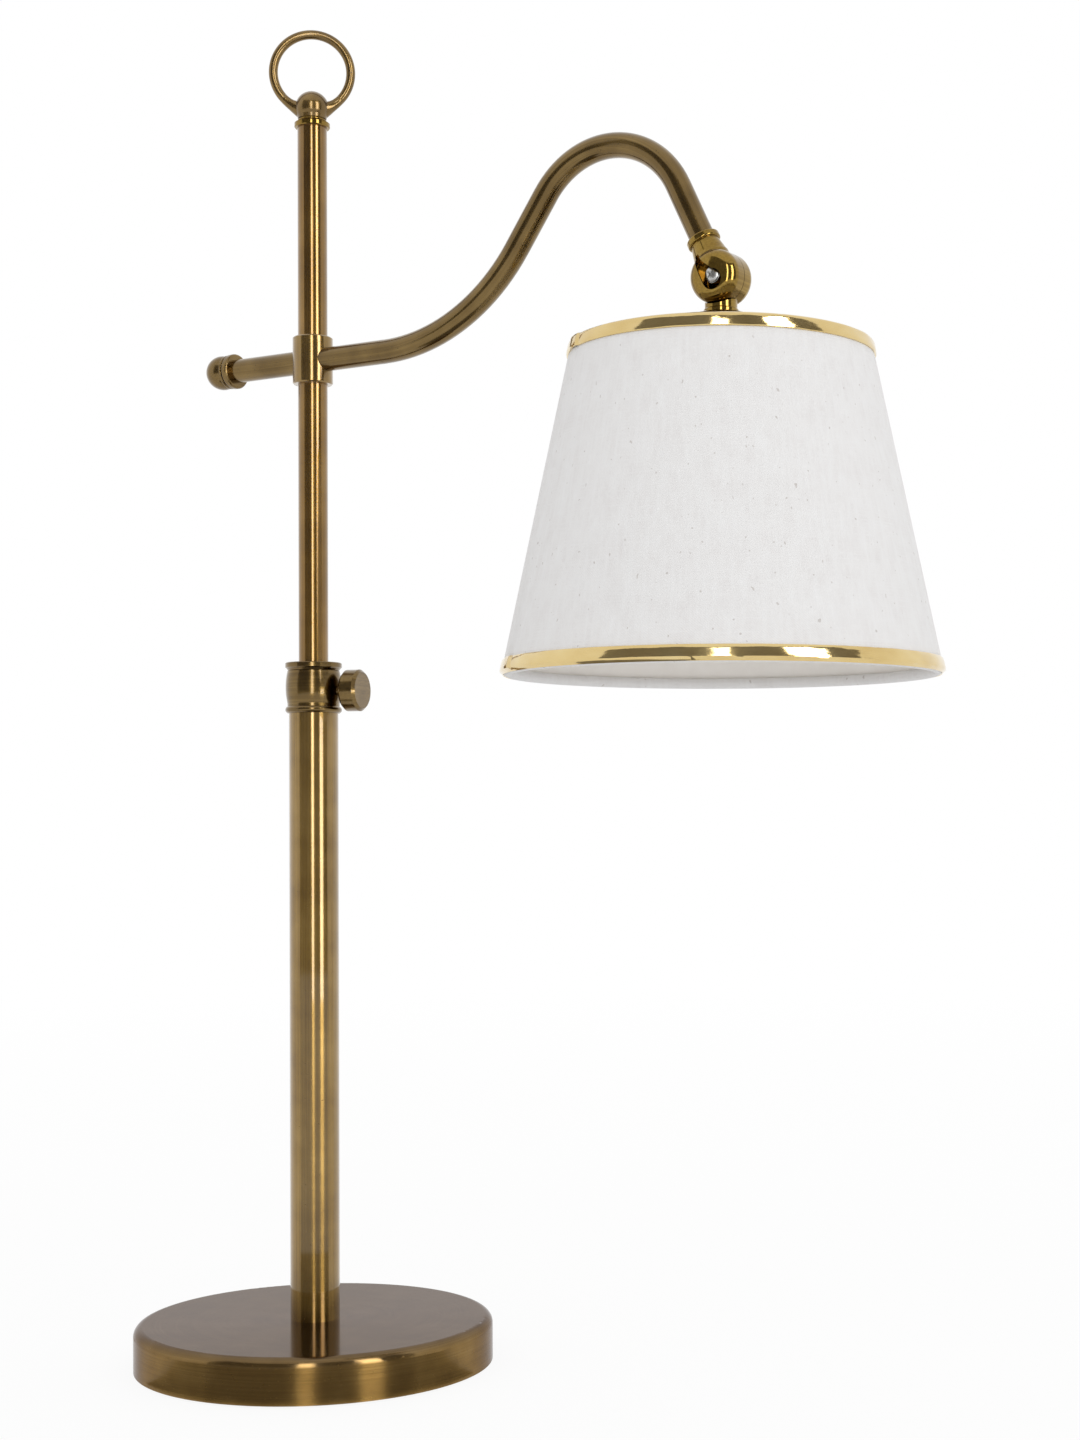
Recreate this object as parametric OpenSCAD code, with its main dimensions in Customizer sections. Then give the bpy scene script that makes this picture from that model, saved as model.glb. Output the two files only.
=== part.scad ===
// Adjustable bridge-arm table lamp: a weighted base, a stem in two telescoping tubes with a clamp knob,
// a ring finial, an S-bent arm through a cross collar, and a cone shade on a tilting knuckle.
// Frame: +Z up, origin on the table under the stem's axis, the arm points along +X.

/* [Base] */
// Diameter of the base
base_d = 180; // [150:1:220]
// Height of the base's top above the table
base_h = 23; // [20:0.5:30]
// Radius of the base's rounded upper edge
base_edge_r = 4.5; // [2:0.5:5]
// Wall of the spun base cover
cover_t = 1.2; // [0.8:0.1:1.5]
// Gap between the table and the cover's rim
cover_lift = 0.8; // [0.4:0.1:1.2]
// Thickness of the felt pad
pad_t = 2; // [1.5:0.1:3]
// Distance from the base's edge to the pad's edge
pad_inset = 4; // [2:0.5:10]
// Diameter of the recess under the weight that takes the nut
recess_d = 34; // [30:1:50]
// Depth of that recess
recess_h = 9; // [8:0.5:11]
// Width of the cord's channel under the weight
channel_w = 9; // [8:0.5:14]
// Bore of the cord bushing
inlet_d = 6.6; // [5:0.1:7.5]
// Diameter of the bushing's body, which fills the hole in the cover
bushing_d = 9.4; // [9:0.1:10]
// Diameter of the bushing's outer flange
bushing_flange_d = 12.4; // [11.5:0.1:13]
// Thickness of the bushing's flange
bushing_flange_t = 1.6; // [1:0.1:3]
// Length of the bushing's body behind its flange
bushing_l = 7; // [4:0.5:10]

/* [Stem] */
// Outer diameter of the lower tube
stem_d = 25; // [23.5:0.1:28]
// Wall of the lower tube
stem_t = 1.2; // [0.8:0.1:1.5]
// Length of the lower tube
stem_l = 308; // [260:0.5:360]
// Height of the plug in the tube's foot
plug_h = 20; // [18:0.5:30]
// Thread diameter of the hollow rods that hold base and socket
nipple_d = 10; // [9.5:0.1:10.5]
// Bore of the hollow rods
nipple_bore_d = 6.5; // [5:0.1:7]
// Length of the stem's hollow rod above the base
nipple_rise = 16; // [10:0.5:17]
// Diameter of the washer under the weight
washer_d = 28; // [20:0.5:29]
// Thickness of that washer
washer_t = 2; // [1:0.1:2.5]
// Distance between opposite flats of the hex nuts
nut_af = 14; // [13:0.1:15]
// Height of the hex nuts
nut_h = 3.6; // [3:0.1:4.5]

/* [Clamp] */
// Height of the clamp collar
collar_h = 25.8; // [24:0.1:32]
// Diameter of the collar's two flanges
collar_flange_d = 28.6; // [27.6:0.1:34]
// Height of the collar's lower flange
low_flange_h = 3.6; // [2:0.1:4]
// Height of the collar's flaring upper flange
top_flange_h = 4.2; // [3:0.1:4.5]
// Diameter of the barrel at its middle
barrel_d = 28.2; // [27:0.1:30]
// How much the barrel's radius falls towards its ends
barrel_fall = 0.9; // [0.3:0.1:1.1]
// Length of the collar's spigot in the lower tube
spigot_l = 18; // [12:0.5:30]
// Wall of the guide bush in the spigot
bush_t = 1.9; // [1.2:0.1:2.2]
// Distance of the knob's axis below the barrel's middle
knob_drop = 2; // [0:0.1:2.4]
// Direction of the knob, turned from the arm
knob_turn = 13; // [0:1:60]
// Diameter of the knob
knob_d = 21.2; // [16:0.1:24]
// Thickness of the knob
knob_t = 9.4; // [6:0.1:12]
// Bevel on the knob's two edges
knob_bevel = 1.4; // [0.5:0.1:2]
// Gap between the barrel and the knob
knob_gap = 4; // [2.5:0.1:8]
// Diameter of the clamp screw
clamp_screw_d = 5; // [4:0.1:6]
// Length of the grip pad at the clamp screw's tip
grip_l = 2.4; // [1.5:0.1:3]

/* [Mast] */
// Outer diameter of the mast
mast_d = 15; // [14.5:0.1:15.4]
// Wall of the mast
mast_t = 1.2; // [0.8:0.1:1.3]
// Length of the mast
mast_l = 433; // [400:1:450]
// How far the mast stands out of the clamp collar
mast_rise = 274; // [260:1:290]
// Height of the bush that slides in the lower tube
foot_h = 24; // [12:0.5:30]
// Thickness of the two retaining rings
ring_t = 1.2; // [0.8:0.1:1.6]
// Depth of the retaining rings' grooves in the mast
groove_t = 0.5; // [0.3:0.05:0.6]

/* [Finial] */
// Outer diameter of the collar on the mast's top
cap_d = 18; // [17:0.1:21]
// Height of that collar
cap_h = 4.2; // [3.8:0.1:6]
// Diameter of the bead on the collar
cap_bead_d = 14.6; // [13.6:0.1:16]
// Height of that bead
cap_bead_h = 1.2; // [0.8:0.1:1.6]
// Length of the collar's spigot in the mast
cap_spigot_l = 12; // [8:0.5:20]
// Height of the neck between the collar and the ball
neck_h = 0.4; // [0.3:0.1:1.5]
// Diameter of the neck
neck_d = 12.8; // [12:0.1:13.4]
// Diameter of the ball under the ring
finial_ball_d = 17.2; // [16.8:0.1:20]
// Height of the ball's centre above its seat
finial_ball_z = 5.6; // [5:0.1:6.4]
// Diameter of the ball's seat
finial_seat_d = 14.4; // [13.6:0.1:15]
// Diameter of the ring, to the middle of its wire
finial_ring_d = 39.2; // [38:0.1:46]
// Height of the ring's centre above the ball's
finial_ring_z = 18.3; // [17.6:0.1:18.6]
// Diameter of the ring's wire
finial_wire_d = 4.6; // [3.6:0.1:5.4]
// How much the wire thickens towards the ball, in diameter
finial_flare = 3; // [1:0.1:3.2]
// Direction of the ring's plane, turned from the arm
finial_turn = 35; // [0:1:90]
// Diameter of the finial's threaded stud
stud_d = 5; // [4:0.1:6]

/* [Arm] */
// Distance of the arm's axis below the mast's top
arm_drop = 119.5; // [100:0.5:140]
// Diameter of the cross collar
cross_d = 20.4; // [19.4:0.1:23]
// Height of the cross collar
cross_h = 24; // [20:0.5:32]
// Bevel on the cross collar's edges
cross_bevel = 0.6; // [0.2:0.1:1]
// Outer diameter of the arm's tube
arm_d = 12; // [11.4:0.1:12.6]
// Wall of the arm's tube
arm_t = 1.2; // [0.8:0.1:1.5]
// Distance from the stem's axis to the first bend
arm_run = 46.6; // [30:0.1:60]
// Radius of the first bend, which turns the arm up
rise_r = 99.2; // [80:0.1:120]
// Angle of the arm's climb
rise_a = 54.3; // [50:0.1:58]
// Straight length between the two bends
mid_run = 29.3; // [20:0.1:40]
// Radius of the second bend, which turns the arm down
fall_r = 43.3; // [36:0.1:50]
// Angle of the arm's end below the horizontal
fall_a = 63.9; // [56:0.1:68]
// Distance from the second bend to the knuckle's centre
end_run = 51.3; // [46:0.1:60]
// Distance from the stem's axis to the rear ball's centre
tail_l = 60.3; // [50:0.5:80]
// Diameter of the rear ball
tail_ball_d = 17.6; // [15:0.1:20]
// Diameter of the rear finial's flange
tail_flange_d = 18; // [16:0.1:21]
// Diameter of the grub screw in the cross collar
grub_d = 4; // [3:0.1:5]

/* [Knuckle] */
// Diameter of the knuckle's two rounded halves
knuckle_d = 24.8; // [24.4:0.1:27]
// Depth of the front half, from the joint's plane to the top of its face
front_t = 11.8; // [11:0.1:12.6]
// Depth of the rear half
rear_t = 11.8; // [11:0.1:14]
// Radius of the halves' rounded edge
half_edge_r = 6; // [5:0.1:6.6]
// Radius of the slight dome on the halves' faces
face_r = 30; // [24:1:50]
// Rim wall of the halves
rim_t = 2.4; // [1.8:0.1:2.6]
// Thickness of the halves' floors on both sides of the joint
floor_t = 1.3; // [1:0.1:1.5]
// Thickness of the front half's face over the screw
face_t = 1.4; // [1.2:0.1:1.6]
// Gap between the two halves
joint_gap = 0.3; // [0.2:0.05:0.5]
// Diameter of the knuckle's screw
pivot_d = 4; // [3.4:0.1:4.4]
// Diameter of the pan head
pivot_head_d = 6.8; // [6.2:0.1:7]
// Height of the pan head
pivot_head_h = 1.9; // [1.5:0.1:2]
// Thickness of the washer under the head
spring_washer_t = 0.7; // [0.4:0.1:0.8]
// Radius of the window's round end in the front half
window_r = 4.8; // [4.2:0.1:5.2]
// Distance of the window's round end below the knuckle's centre
window_drop = 2.8; // [2:0.1:3.2]
// Distance from the knuckle's centre to the window's upper end in the bell
window_l = 13; // [11:0.1:14]
// Width of the window's upper end
window_w = 2.2; // [1.6:0.1:2.6]
// Diameter of the bell that takes the arm's tube
bell_d = 16.4; // [15.6:0.1:18]
// Distance from the knuckle's centre to the bell's mouth
bell_l = 19; // [18.4:0.1:21]
// Diameter of the ferrule ring on the bell's mouth
ferrule_d = 15.8; // [15:0.1:19]
// Height of the ferrule ring
ferrule_h = 3.2; // [2:0.1:5]
// Length of arm tube inside the bell
tube_seat = 3.4; // [2:0.1:3.6]

/* [Lampholder] */
// Diameter of the neck under the knuckle
head_neck_d = 15; // [14:0.1:17]
// Distance from the knuckle's centre to the neck's shoulder
head_neck_l = 14; // [13.8:0.1:16]
// Diameter of the ring on the neck
neck_ring_d = 16; // [15:0.1:19]
// Height of that ring
neck_ring_h = 2.4; // [1.6:0.1:4]
// Wall of the neck inside the ring
neck_wall = 1.4; // [1:0.1:1.8]
// Diameter of the socket cap
cap_shell_d = 39; // [37:0.5:42]
// Height of the socket cap
cap_shell_h = 27; // [24:0.5:32]
// Radius of the cap's shoulder
cap_shoulder_r = 10; // [6:0.5:12]
// Wall of the socket cap
cap_shell_t = 1; // [0.7:0.1:1.4]
// Length of the head's hollow rod
head_nipple_l = 12; // [10.5:0.5:14]
// Height of the lampholder's shoulder
shoulder_h = 3; // [2:0.1:5]
// How far the shoulder stands out of the cap
shoulder_out = 2; // [1:0.1:4]
// Length of the lampholder's threaded skirt
skirt_l = 34; // [30:0.5:40]
// Wall of the skirt
skirt_t = 3.4; // [2.4:0.1:3.8]
// Height of the ring that clamps the shade
shade_nut_h = 7.5; // [5:0.1:10]
// Width of that ring
shade_nut_w = 4.6; // [3:0.1:6]
// Thickness of the lampholder's inner floor
holder_floor = 4; // [3:0.5:6]

/* [Bulb] */
// Diameter of the bulb's glass
bulb_d = 58; // [45:1:64]
// Length of the bulb's glass
glass_l = 77; // [70:1:84]
// Wall of the glass
glass_t = 0.8; // [0.6:0.1:1.2]
// Diameter of the bulb's neck
bulb_neck_d = 27; // [26.6:0.1:30]
// Core diameter of the screw cap
screw_cap_d = 25; // [24:0.1:25.4]
// Pitch of the screw cap's thread
screw_pitch = 3.6; // [3.2:0.1:4]
// Number of turns on the screw cap
screw_turns = 5; // [4:1:6]

/* [Shade] */
// Diameter of the shade's bottom
shade_bottom_d = 202.4; // [180:1:230]
// Diameter of the shade's top
shade_top_d = 137.6; // [120:1:160]
// Height of the shade
shade_h = 152; // [140:1:180]
// Distance from the knuckle's centre down to the shade's top
shade_drop = 30.1; // [28:0.1:36]
// Thickness of the linen and its liner
shade_t = 0.8; // [0.5:0.1:1.2]
// Diameter of the two wire rings
wire_d = 3; // [2.4:0.1:4]
// Slit between the linen's wall and the end of its hem round a wire
hem_slit = 0.4; // [0.3:0.1:0.6]
// Width of the trim bands
trim_w = 6.8; // [5.4:0.1:12]
// Thickness of the trim outside the linen
trim_t = 1.1; // [0.4:0.1:1.5]
// Width of the spider's hub ring
hub_w = 4.5; // [4:0.1:8]
// Thickness of the spider's hub ring
hub_t = 1.5; // [1:0.1:3]
// Diameter of the spider's spokes
spoke_d = 2.8; // [2:0.1:4]
// Number of the spider's spokes
spokes = 3; // [2:1:4]
// Direction of the first spoke
spoke_turn = 60; // [0:5:60]

/* [Fits] */
// Clearance of a shaft that turns or slides in its bore
run_gap = 0.06; // [0.03:0.01:0.1]
// Clearance of parts that are screwed or pressed together
seat_gap = 0.02; // [0.01:0.01:0.05]
// Clearance of parts that only pass by
pass_gap = 0.3; // [0.2:0.05:0.4]

/* [Hidden] */
$fn = 96;

brass = "#8a6d3b";
bright_brass = "#b08d3e";
gold = "#c9a13b";
linen = "#ece8e1";
steel = "#b9bcc0";
iron = "#4c4c4e";
felt = "#2f3a33";
nylon = "#d8d6cc";
black = "#232323";
clear = [0.9, 0.93, 0.95, 0.45];

eps = 0.01;      // how far a cutter runs past a face that it opens
big = 200;       // longer than any piece that a cutter has to clear

// Base
cord_z = (base_h - base_edge_r) / 2;
weight_top = base_h - cover_t;
recess_top = pad_t + recess_h;

// Stem and clamp
stem_r = stem_d / 2;
stem_in_r = stem_r - stem_t;
stem_top = base_h + stem_l;
collar_top = stem_top + collar_h;
bead_h = 1.4;                    // plain ring between the lower flange and the barrel
barrel_z0 = low_flange_h + bead_h;
barrel_z1 = collar_h - top_flange_h;
barrel_mid = (barrel_z0 + barrel_z1) / 2;
barrel_r = barrel_d / 2;
barrel_end_r = barrel_r - barrel_fall;
knob_z = stem_top + barrel_mid - knob_drop;
spigot_r = stem_in_r - seat_gap;
clamp_r = clamp_screw_d / 2;

// Mast
mast_r = mast_d / 2;
mast_in_r = mast_r - mast_t;
mast_top = collar_top + mast_rise;
mast_bottom = mast_top - mast_l;
mast_hole_r = mast_r + pass_gap;
pad_tip = mast_r + 0.2;          // the grip pad's tip, just off the mast
tail_end_z = mast_bottom + 2;    // lower face of the lower retaining ring
axial_gap = 0.15;                // play of the foot between its retaining rings
foot_z0 = tail_end_z + ring_t + axial_gap;
foot_z1 = foot_z0 + foot_h;
upper_ring_z = foot_z1 + axial_gap;
groove_r = mast_r - groove_t;
ring_lip = 1.6;                  // how far the retaining rings stand out of the mast
stud_in = 8;                     // length of the finial's stud in the collar

// Arm: every point lies in the plane y = 0
arm_r = arm_d / 2;
bend_thin = 0.03;                // how much a bend's wall thins on each side
bend_lap = 0.3;                  // how far a bend laps into the straight tube
arm_z = mast_top - arm_drop;
cross_r = cross_d / 2;
rise_x = arm_run + rise_r * sin(rise_a);
rise_z = arm_z + rise_r * (1 - cos(rise_a));
crest_x = rise_x + mid_run * cos(rise_a);
crest_z = rise_z + mid_run * sin(rise_a);
fall_x = crest_x + fall_r * (sin(rise_a) + sin(fall_a));
fall_z = crest_z + fall_r * (cos(fall_a) - cos(rise_a));
knuckle_x = fall_x + end_run * cos(fall_a);
knuckle_z = fall_z - end_run * sin(fall_a);

// Knuckle
drum_r = knuckle_d / 2;
cavity_r = drum_r - rim_t;
cavity_edge_r = half_edge_r - 2;
joint_y = joint_gap / 2;
// The edge's round and the face's dome are a hair off tangent, so that they cross cleanly
edge_run = drum_r - half_edge_r;
edge_span = face_r - half_edge_r + 0.01;
edge_fall = face_r - sqrt(edge_span * edge_span - edge_run * edge_run);
head_free = 0.5;                 // free space between the screw's head and the face
post_y = front_t - face_t - head_free - pivot_head_h - spring_washer_t;
post_r = pivot_head_d / 2 + 0.2;
head_y = post_y + spring_washer_t;
pivot_end_y = rear_t / 2;
wire_way_r = nipple_bore_d / 2;
window_floor_y = joint_y + floor_t + 0.6;
window_mid = 0.2;                // the window's round end, from the arm's axis
window_x = window_mid - window_r;
bell_foot = cavity_r - 2;        // where the bell starts inside the front half
bell_foot_h = 3.4;               // height of the bell's straight foot
bell_neck_r = ferrule_d / 2 - 1;

// Head, in heights above the knuckle's centre
ring_z = -head_neck_l - neck_ring_h;
nipple_top_z = -drum_r - 2 * pass_gap;
cap_z = ring_z - cap_shell_h;
shoulder_z = cap_z - shoulder_h;
skirt_r = cap_shell_d / 2 - seat_gap;
skirt_z = cap_z - skirt_l;
hub_in_r = skirt_r + 0.4;
hub_out_r = hub_in_r + hub_w;
hub_z = shoulder_z - hub_t;
shade_nut_z = hub_z - shade_nut_h;
holder_in_r = skirt_r - skirt_t;
shell_t = 0.4;
thread_r = 0.9;                  // roundness of the screw thread
shell_r = screw_cap_d / 2 + thread_r + 0.4;
holder_floor_z = shoulder_z - holder_floor;
contact_h = 2.4;
bulb_tip_z = holder_floor_z - contact_h;
bulb_tip_h = 2.6;
screw_cap_z = bulb_tip_z - bulb_tip_h;
screw_cap_l = screw_pitch * (screw_turns + 1) + 4;
glass_z = screw_cap_z - screw_cap_l;
bulb_r = bulb_d / 2;
bulb_mid_z = glass_z - glass_l + bulb_r;
glass_meet_a = 62;               // where the neck's cone meets the ball, from the bulb's axis

// Shade
shade_top_z = -shade_drop;
shade_bottom_z = shade_top_z - shade_h;
shade_a = atan((shade_bottom_d - shade_top_d) / 2 / shade_h);
slant_l = shade_h / cos(shade_a);
wire_r = wire_d / 2;
hem_in_r = wire_r + pass_gap;
hem_r = hem_in_r + shade_t;      // from the linen's face or edge to the wire's middle
top_wire_r = shade_top_d / 2 - hem_r * cos(shade_a) + hem_r * sin(shade_a);
top_wire_z = shade_top_z - hem_r * cos(shade_a) - hem_r * sin(shade_a);
hub_mid_r = hub_in_r + hub_w / 2;
spoke_foot_z = hub_z + spoke_d / 2;
spoke_rise = top_wire_z - spoke_foot_z;
spoke_run = top_wire_r - wire_r - 0.1 - hub_mid_r;

// ---- shapes that repeat ----

// A solid of revolution drawn as radius and height
module turned() rotate_extrude() children();

// A plain tube
module tube(outer_r, inner_r, h) difference() {
    cylinder(r = outer_r, h = h);
    translate([0, 0, -eps]) cylinder(r = inner_r, h = h + 2 * eps);
}

// A disc with a rounded upper edge, as radius and height
module rounded_profile(r, h, edge) union() {
    square([r - edge, h]);
    square([r, h - edge]);
    intersection() {
        translate([r - edge, h - edge]) circle(edge);
        translate([r - edge, h - edge]) square(edge);
    }
}

// A ring with two bevelled outer edges
module bevelled_ring(outer_r, inner_r, h, bevel) turned() polygon([[inner_r, 0], [outer_r - bevel, 0],
    [outer_r, bevel], [outer_r, h - bevel], [outer_r - bevel, h], [inner_r, h]]);

// A hex nut with a round hole
module hex_nut(af, h, hole_r) difference() {
    cylinder(r = af / 2 / cos(30), h = h, $fn = 6);
    translate([0, 0, -eps]) cylinder(r = hole_r, h = h + 2 * eps);
}

// Rounded rings one pitch apart, which stand for a screw thread
module thread_rings(r, minor_r, pitch, turns) for (i = [0 : turns - 1])
    translate([0, 0, -i * pitch]) turned() translate([r, 0]) circle(minor_r, $fn = 32);

// The arm tube's section, with its wall thinned from both sides
module arm_section(thinned = 0) difference() {
    circle(arm_r - thinned);
    circle(arm_r - arm_t + thinned);
}

// A stretch of arm tube along +Z
module arm_straight(l) linear_extrude(l) arm_section();

// A bend that starts along +Z and turns towards +X. Its wall is a little thinner, as in any bent tube,
// and both its ends lap into the straight tube.
module arm_bend(bend_r, a) {
    lap_a = bend_lap / bend_r * 180 / PI;
    translate([bend_r, 0, 0]) rotate([90, 0, 0]) rotate([0, 0, 180 - a - lap_a])
        rotate_extrude(angle = a + 2 * lap_a) translate([bend_r, 0]) arm_section(bend_thin);
}

// Sets +Z along a heading above +X, in the arm's plane
module heading(x, z, a) translate([x, 0, z]) rotate([0, 90 - a, 0]) children();

// A cylinder along the knuckle's axis from one depth to another, with y as depth
module pivot_cylinder(r, y0, y1) translate([0, y1, 0]) rotate([90, 0, 0]) cylinder(r = r, h = y1 - y0);

// Moves a piece to the knuckle's centre
module at_knuckle() translate([knuckle_x, 0, knuckle_z]) children();

// Turns +Z to the arm's end direction, at the knuckle's centre
module at_arm_end() at_knuckle() rotate([0, fall_a - 90, 0]) children();

// ---- base ----

module base_cover() color(brass) difference() {
    turned() difference() {
        rounded_profile(base_d / 2, base_h, base_edge_r);
        rounded_profile(base_d / 2 - cover_t, base_h - cover_t, base_edge_r - cover_t);
        square([base_d, cover_lift]);
    }
    cylinder(r = nipple_d / 2 + pass_gap, h = big);
    translate([-base_d / 2 - eps, 0, cord_z]) rotate([0, 90, 0])
        cylinder(d = bushing_d + 2 * seat_gap, h = bushing_l);
}

module base_weight() color(iron) difference() {
    translate([0, 0, pad_t]) turned()
        rounded_profile(base_d / 2 - cover_t - pass_gap, weight_top - pad_t, base_edge_r);
    cylinder(r = nipple_d / 2 + pass_gap, h = big);
    cylinder(d = recess_d, h = recess_top);
    translate([-base_d, -channel_w / 2, 0]) cube([base_d, channel_w, cord_z + bushing_d / 2 + pass_gap]);
    translate([-base_d / 2, 0, cord_z]) rotate([0, 90, 0])
        cylinder(d = bushing_d + 2 * pass_gap, h = bushing_l + bushing_flange_t + 2);
}

module base_pad() color(felt) cylinder(r = base_d / 2 - pad_inset, h = pad_t);

module cord_bushing() color(black) translate([-base_d / 2, 0, cord_z]) rotate([0, 90, 0]) difference() {
    union() {
        cylinder(d = bushing_d, h = bushing_l);
        difference() {
            translate([0, 0, -bushing_flange_t]) cylinder(d = bushing_flange_d, h = bushing_flange_t + 1);
            translate([0, 0, base_d / 2]) rotate([0, 90, 0]) cylinder(d = base_d, h = big, center = true);
        }
    }
    translate([0, 0, -big / 2]) cylinder(d = inlet_d, h = big);
}

module stem_tube() color(brass) translate([0, 0, base_h]) tube(stem_r, stem_in_r, stem_l);

module stem_plug() color(steel) translate([0, 0, base_h])
    tube(stem_in_r - seat_gap, nipple_d / 2 + seat_gap, plug_h);

module stem_nipple() color(steel) translate([0, 0, recess_top - washer_t - nut_h - 1])
    tube(nipple_d / 2, nipple_bore_d / 2, base_h + nipple_rise - (recess_top - washer_t - nut_h - 1));

module stem_washer() color(steel) translate([0, 0, recess_top - washer_t])
    tube(washer_d / 2, nipple_d / 2 + pass_gap, washer_t);

module stem_nut() color(steel) translate([0, 0, recess_top - washer_t - nut_h])
    hex_nut(nut_af, nut_h, nipple_d / 2 + seat_gap);

// ---- clamp ----

module collar_profile() union() {
    // lower flange with a rounded rim
    square([collar_flange_d / 2 - low_flange_h / 2, low_flange_h]);
    translate([collar_flange_d / 2 - low_flange_h / 2, low_flange_h / 2]) circle(low_flange_h / 2);
    square([barrel_end_r, collar_h - top_flange_h]);
    // bulging barrel: a circle through its middle and its two ends
    bulge_half = (barrel_z1 - barrel_z0) / 2;
    bulge_r = (bulge_half * bulge_half + barrel_fall * barrel_fall) / (2 * barrel_fall);
    intersection() {
        translate([0, barrel_z0]) square([barrel_r, 2 * bulge_half]);
        translate([barrel_r - bulge_r, barrel_mid]) circle(bulge_r);
    }
    // flaring upper flange
    translate([0, barrel_z1]) polygon([[0, 0], [barrel_end_r - 0.4, 0], [collar_flange_d / 2 - 0.7, 1.2],
        [collar_flange_d / 2, 1.8], [collar_flange_d / 2, top_flange_h - 0.4],
        [collar_flange_d / 2 - 0.4, top_flange_h], [0, top_flange_h]]);
    translate([0, -spigot_l]) square([spigot_r, spigot_l]);
}

module clamp_collar() color(brass) translate([0, 0, stem_top]) difference() {
    turned() collar_profile();
    translate([0, 0, -big / 2]) cylinder(r = mast_hole_r, h = big);
    translate([0, 0, -spigot_l - eps]) cylinder(r = mast_hole_r + bush_t, h = spigot_l - low_flange_h);
    translate([0, 0, knob_z - stem_top]) rotate([0, 90, knob_turn]) cylinder(r = clamp_r + run_gap, h = big);
}

module guide_bush() color(nylon) translate([0, 0, stem_top - spigot_l])
    tube(mast_hole_r + bush_t - seat_gap, mast_r + run_gap, spigot_l - low_flange_h - eps);

// Turns +Z to the knob's axis
module at_knob() translate([0, 0, knob_z]) rotate([0, 90, knob_turn]) children();

module grip_pad() color(nylon) at_knob() translate([0, 0, pad_tip]) cylinder(r = clamp_r, h = grip_l);

module clamp_screw() color(brass) at_knob() translate([0, 0, pad_tip + grip_l])
    cylinder(r = clamp_r, h = barrel_r + knob_gap + knob_t * 0.6 - (pad_tip + grip_l));

module clamp_knob() color(brass) at_knob() translate([0, 0, barrel_r + knob_gap]) difference() {
    bevelled_ring(knob_d / 2, 0, knob_t, knob_bevel);
    translate([0, 0, -eps]) cylinder(r = clamp_r + seat_gap, h = knob_t * 0.6 + eps);
}

// ---- mast ----

module mast_foot() color(nylon) translate([0, 0, foot_z0])
    tube(stem_in_r - run_gap, mast_r + run_gap, foot_h);

module mast_tube() color(brass) difference() {
    translate([0, 0, mast_bottom]) tube(mast_r, mast_in_r, mast_l);
    for (z = [tail_end_z, upper_ring_z]) translate([0, 0, z]) tube(mast_r + 1, groove_r, ring_t);
    translate([0, 0, arm_z]) rotate([0, 90, 0]) cylinder(r = arm_r - arm_t, h = cross_d);
}

module retaining_rings() color(steel) for (z = [tail_end_z, upper_ring_z])
    translate([0, 0, z]) tube(mast_r + ring_lip, groove_r, ring_t);

module finial_collar() color(bright_brass) translate([0, 0, mast_top]) difference() {
    union() {
        translate([0, 0, -cap_spigot_l]) cylinder(r = mast_in_r - seat_gap, h = cap_spigot_l);
        turned() cap_profile();
        translate([0, 0, cap_h]) cylinder(d = neck_d, h = neck_h);
    }
    translate([0, 0, -cap_spigot_l - eps]) cylinder(r = stud_d / 2 + seat_gap, h = big);
}

// A bevelled flange, and above a groove a bead with a round edge
module cap_profile() {
    bevel = 0.4;
    flange_h = cap_h - cap_bead_h - bevel;
    bead_in = cap_bead_d / 2 - cap_bead_h / 2;
    polygon([[0, 0], [cap_d / 2 - bevel, 0], [cap_d / 2, bevel], [cap_d / 2, flange_h - bevel],
        [cap_d / 2 - bevel, flange_h], [bead_in, flange_h], [bead_in, cap_h], [0, cap_h]]);
    translate([bead_in, cap_h - cap_bead_h / 2]) circle(cap_bead_h / 2);
}

module ring_finial() color(brass) translate([0, 0, mast_top + cap_h + neck_h]) {
    ball_r = finial_ball_d / 2;
    ring_r = finial_ring_d / 2;
    ring_z0 = finial_ball_z + finial_ring_z;
    intersection() {
        translate([0, 0, finial_ball_z]) sphere(ball_r);
        cylinder(r = ball_r + 1, h = 3 * ball_r);
    }
    // the ball's lower side runs straight to its seat
    cylinder(d1 = finial_seat_d, d2 = finial_ball_d - 0.6, h = finial_ball_z - 1.5);
    translate([0, 0, -stud_in]) cylinder(d = stud_d, h = stud_in + finial_ball_z / 2);
    translate([0, 0, ring_z0]) rotate([90, 0, finial_turn]) difference() {
        turned() translate([ring_r, 0]) circle(finial_wire_d / 2);
        translate([0, -finial_ring_z, 0]) sphere(ball_r - 1);
    }
    // the wire thickens towards the ball, between two angles from the ring's lowest point
    flare_a0 = acos(finial_ring_z / ring_r) - 9;
    flare_a1 = flare_a0 + 22;
    flare_a = (flare_a0 + flare_a1) / 2;
    rotate([0, 0, finial_turn]) for (side = [-1, 1])
        translate([side * ring_r * sin(flare_a0), 0, ring_z0 - ring_r * cos(flare_a0)])
            rotate([0, side * (90 - flare_a), 0])
                cylinder(d1 = finial_wire_d + finial_flare, d2 = finial_wire_d - 0.1,
                    h = 2 * ring_r * sin((flare_a1 - flare_a0) / 2));
}

// ---- arm ----

module cross_collar() color(brass) difference() {
    translate([0, 0, arm_z - cross_h / 2]) bevelled_ring(cross_r, mast_r + seat_gap, cross_h, cross_bevel);
    translate([0, 0, arm_z]) rotate([0, 90, 0]) cylinder(r = arm_r + seat_gap, h = big, center = true);
    translate([0, 0, arm_z]) rotate([-90, 0, 0]) cylinder(r = grub_d / 2 + seat_gap, h = cross_d);
}

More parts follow.
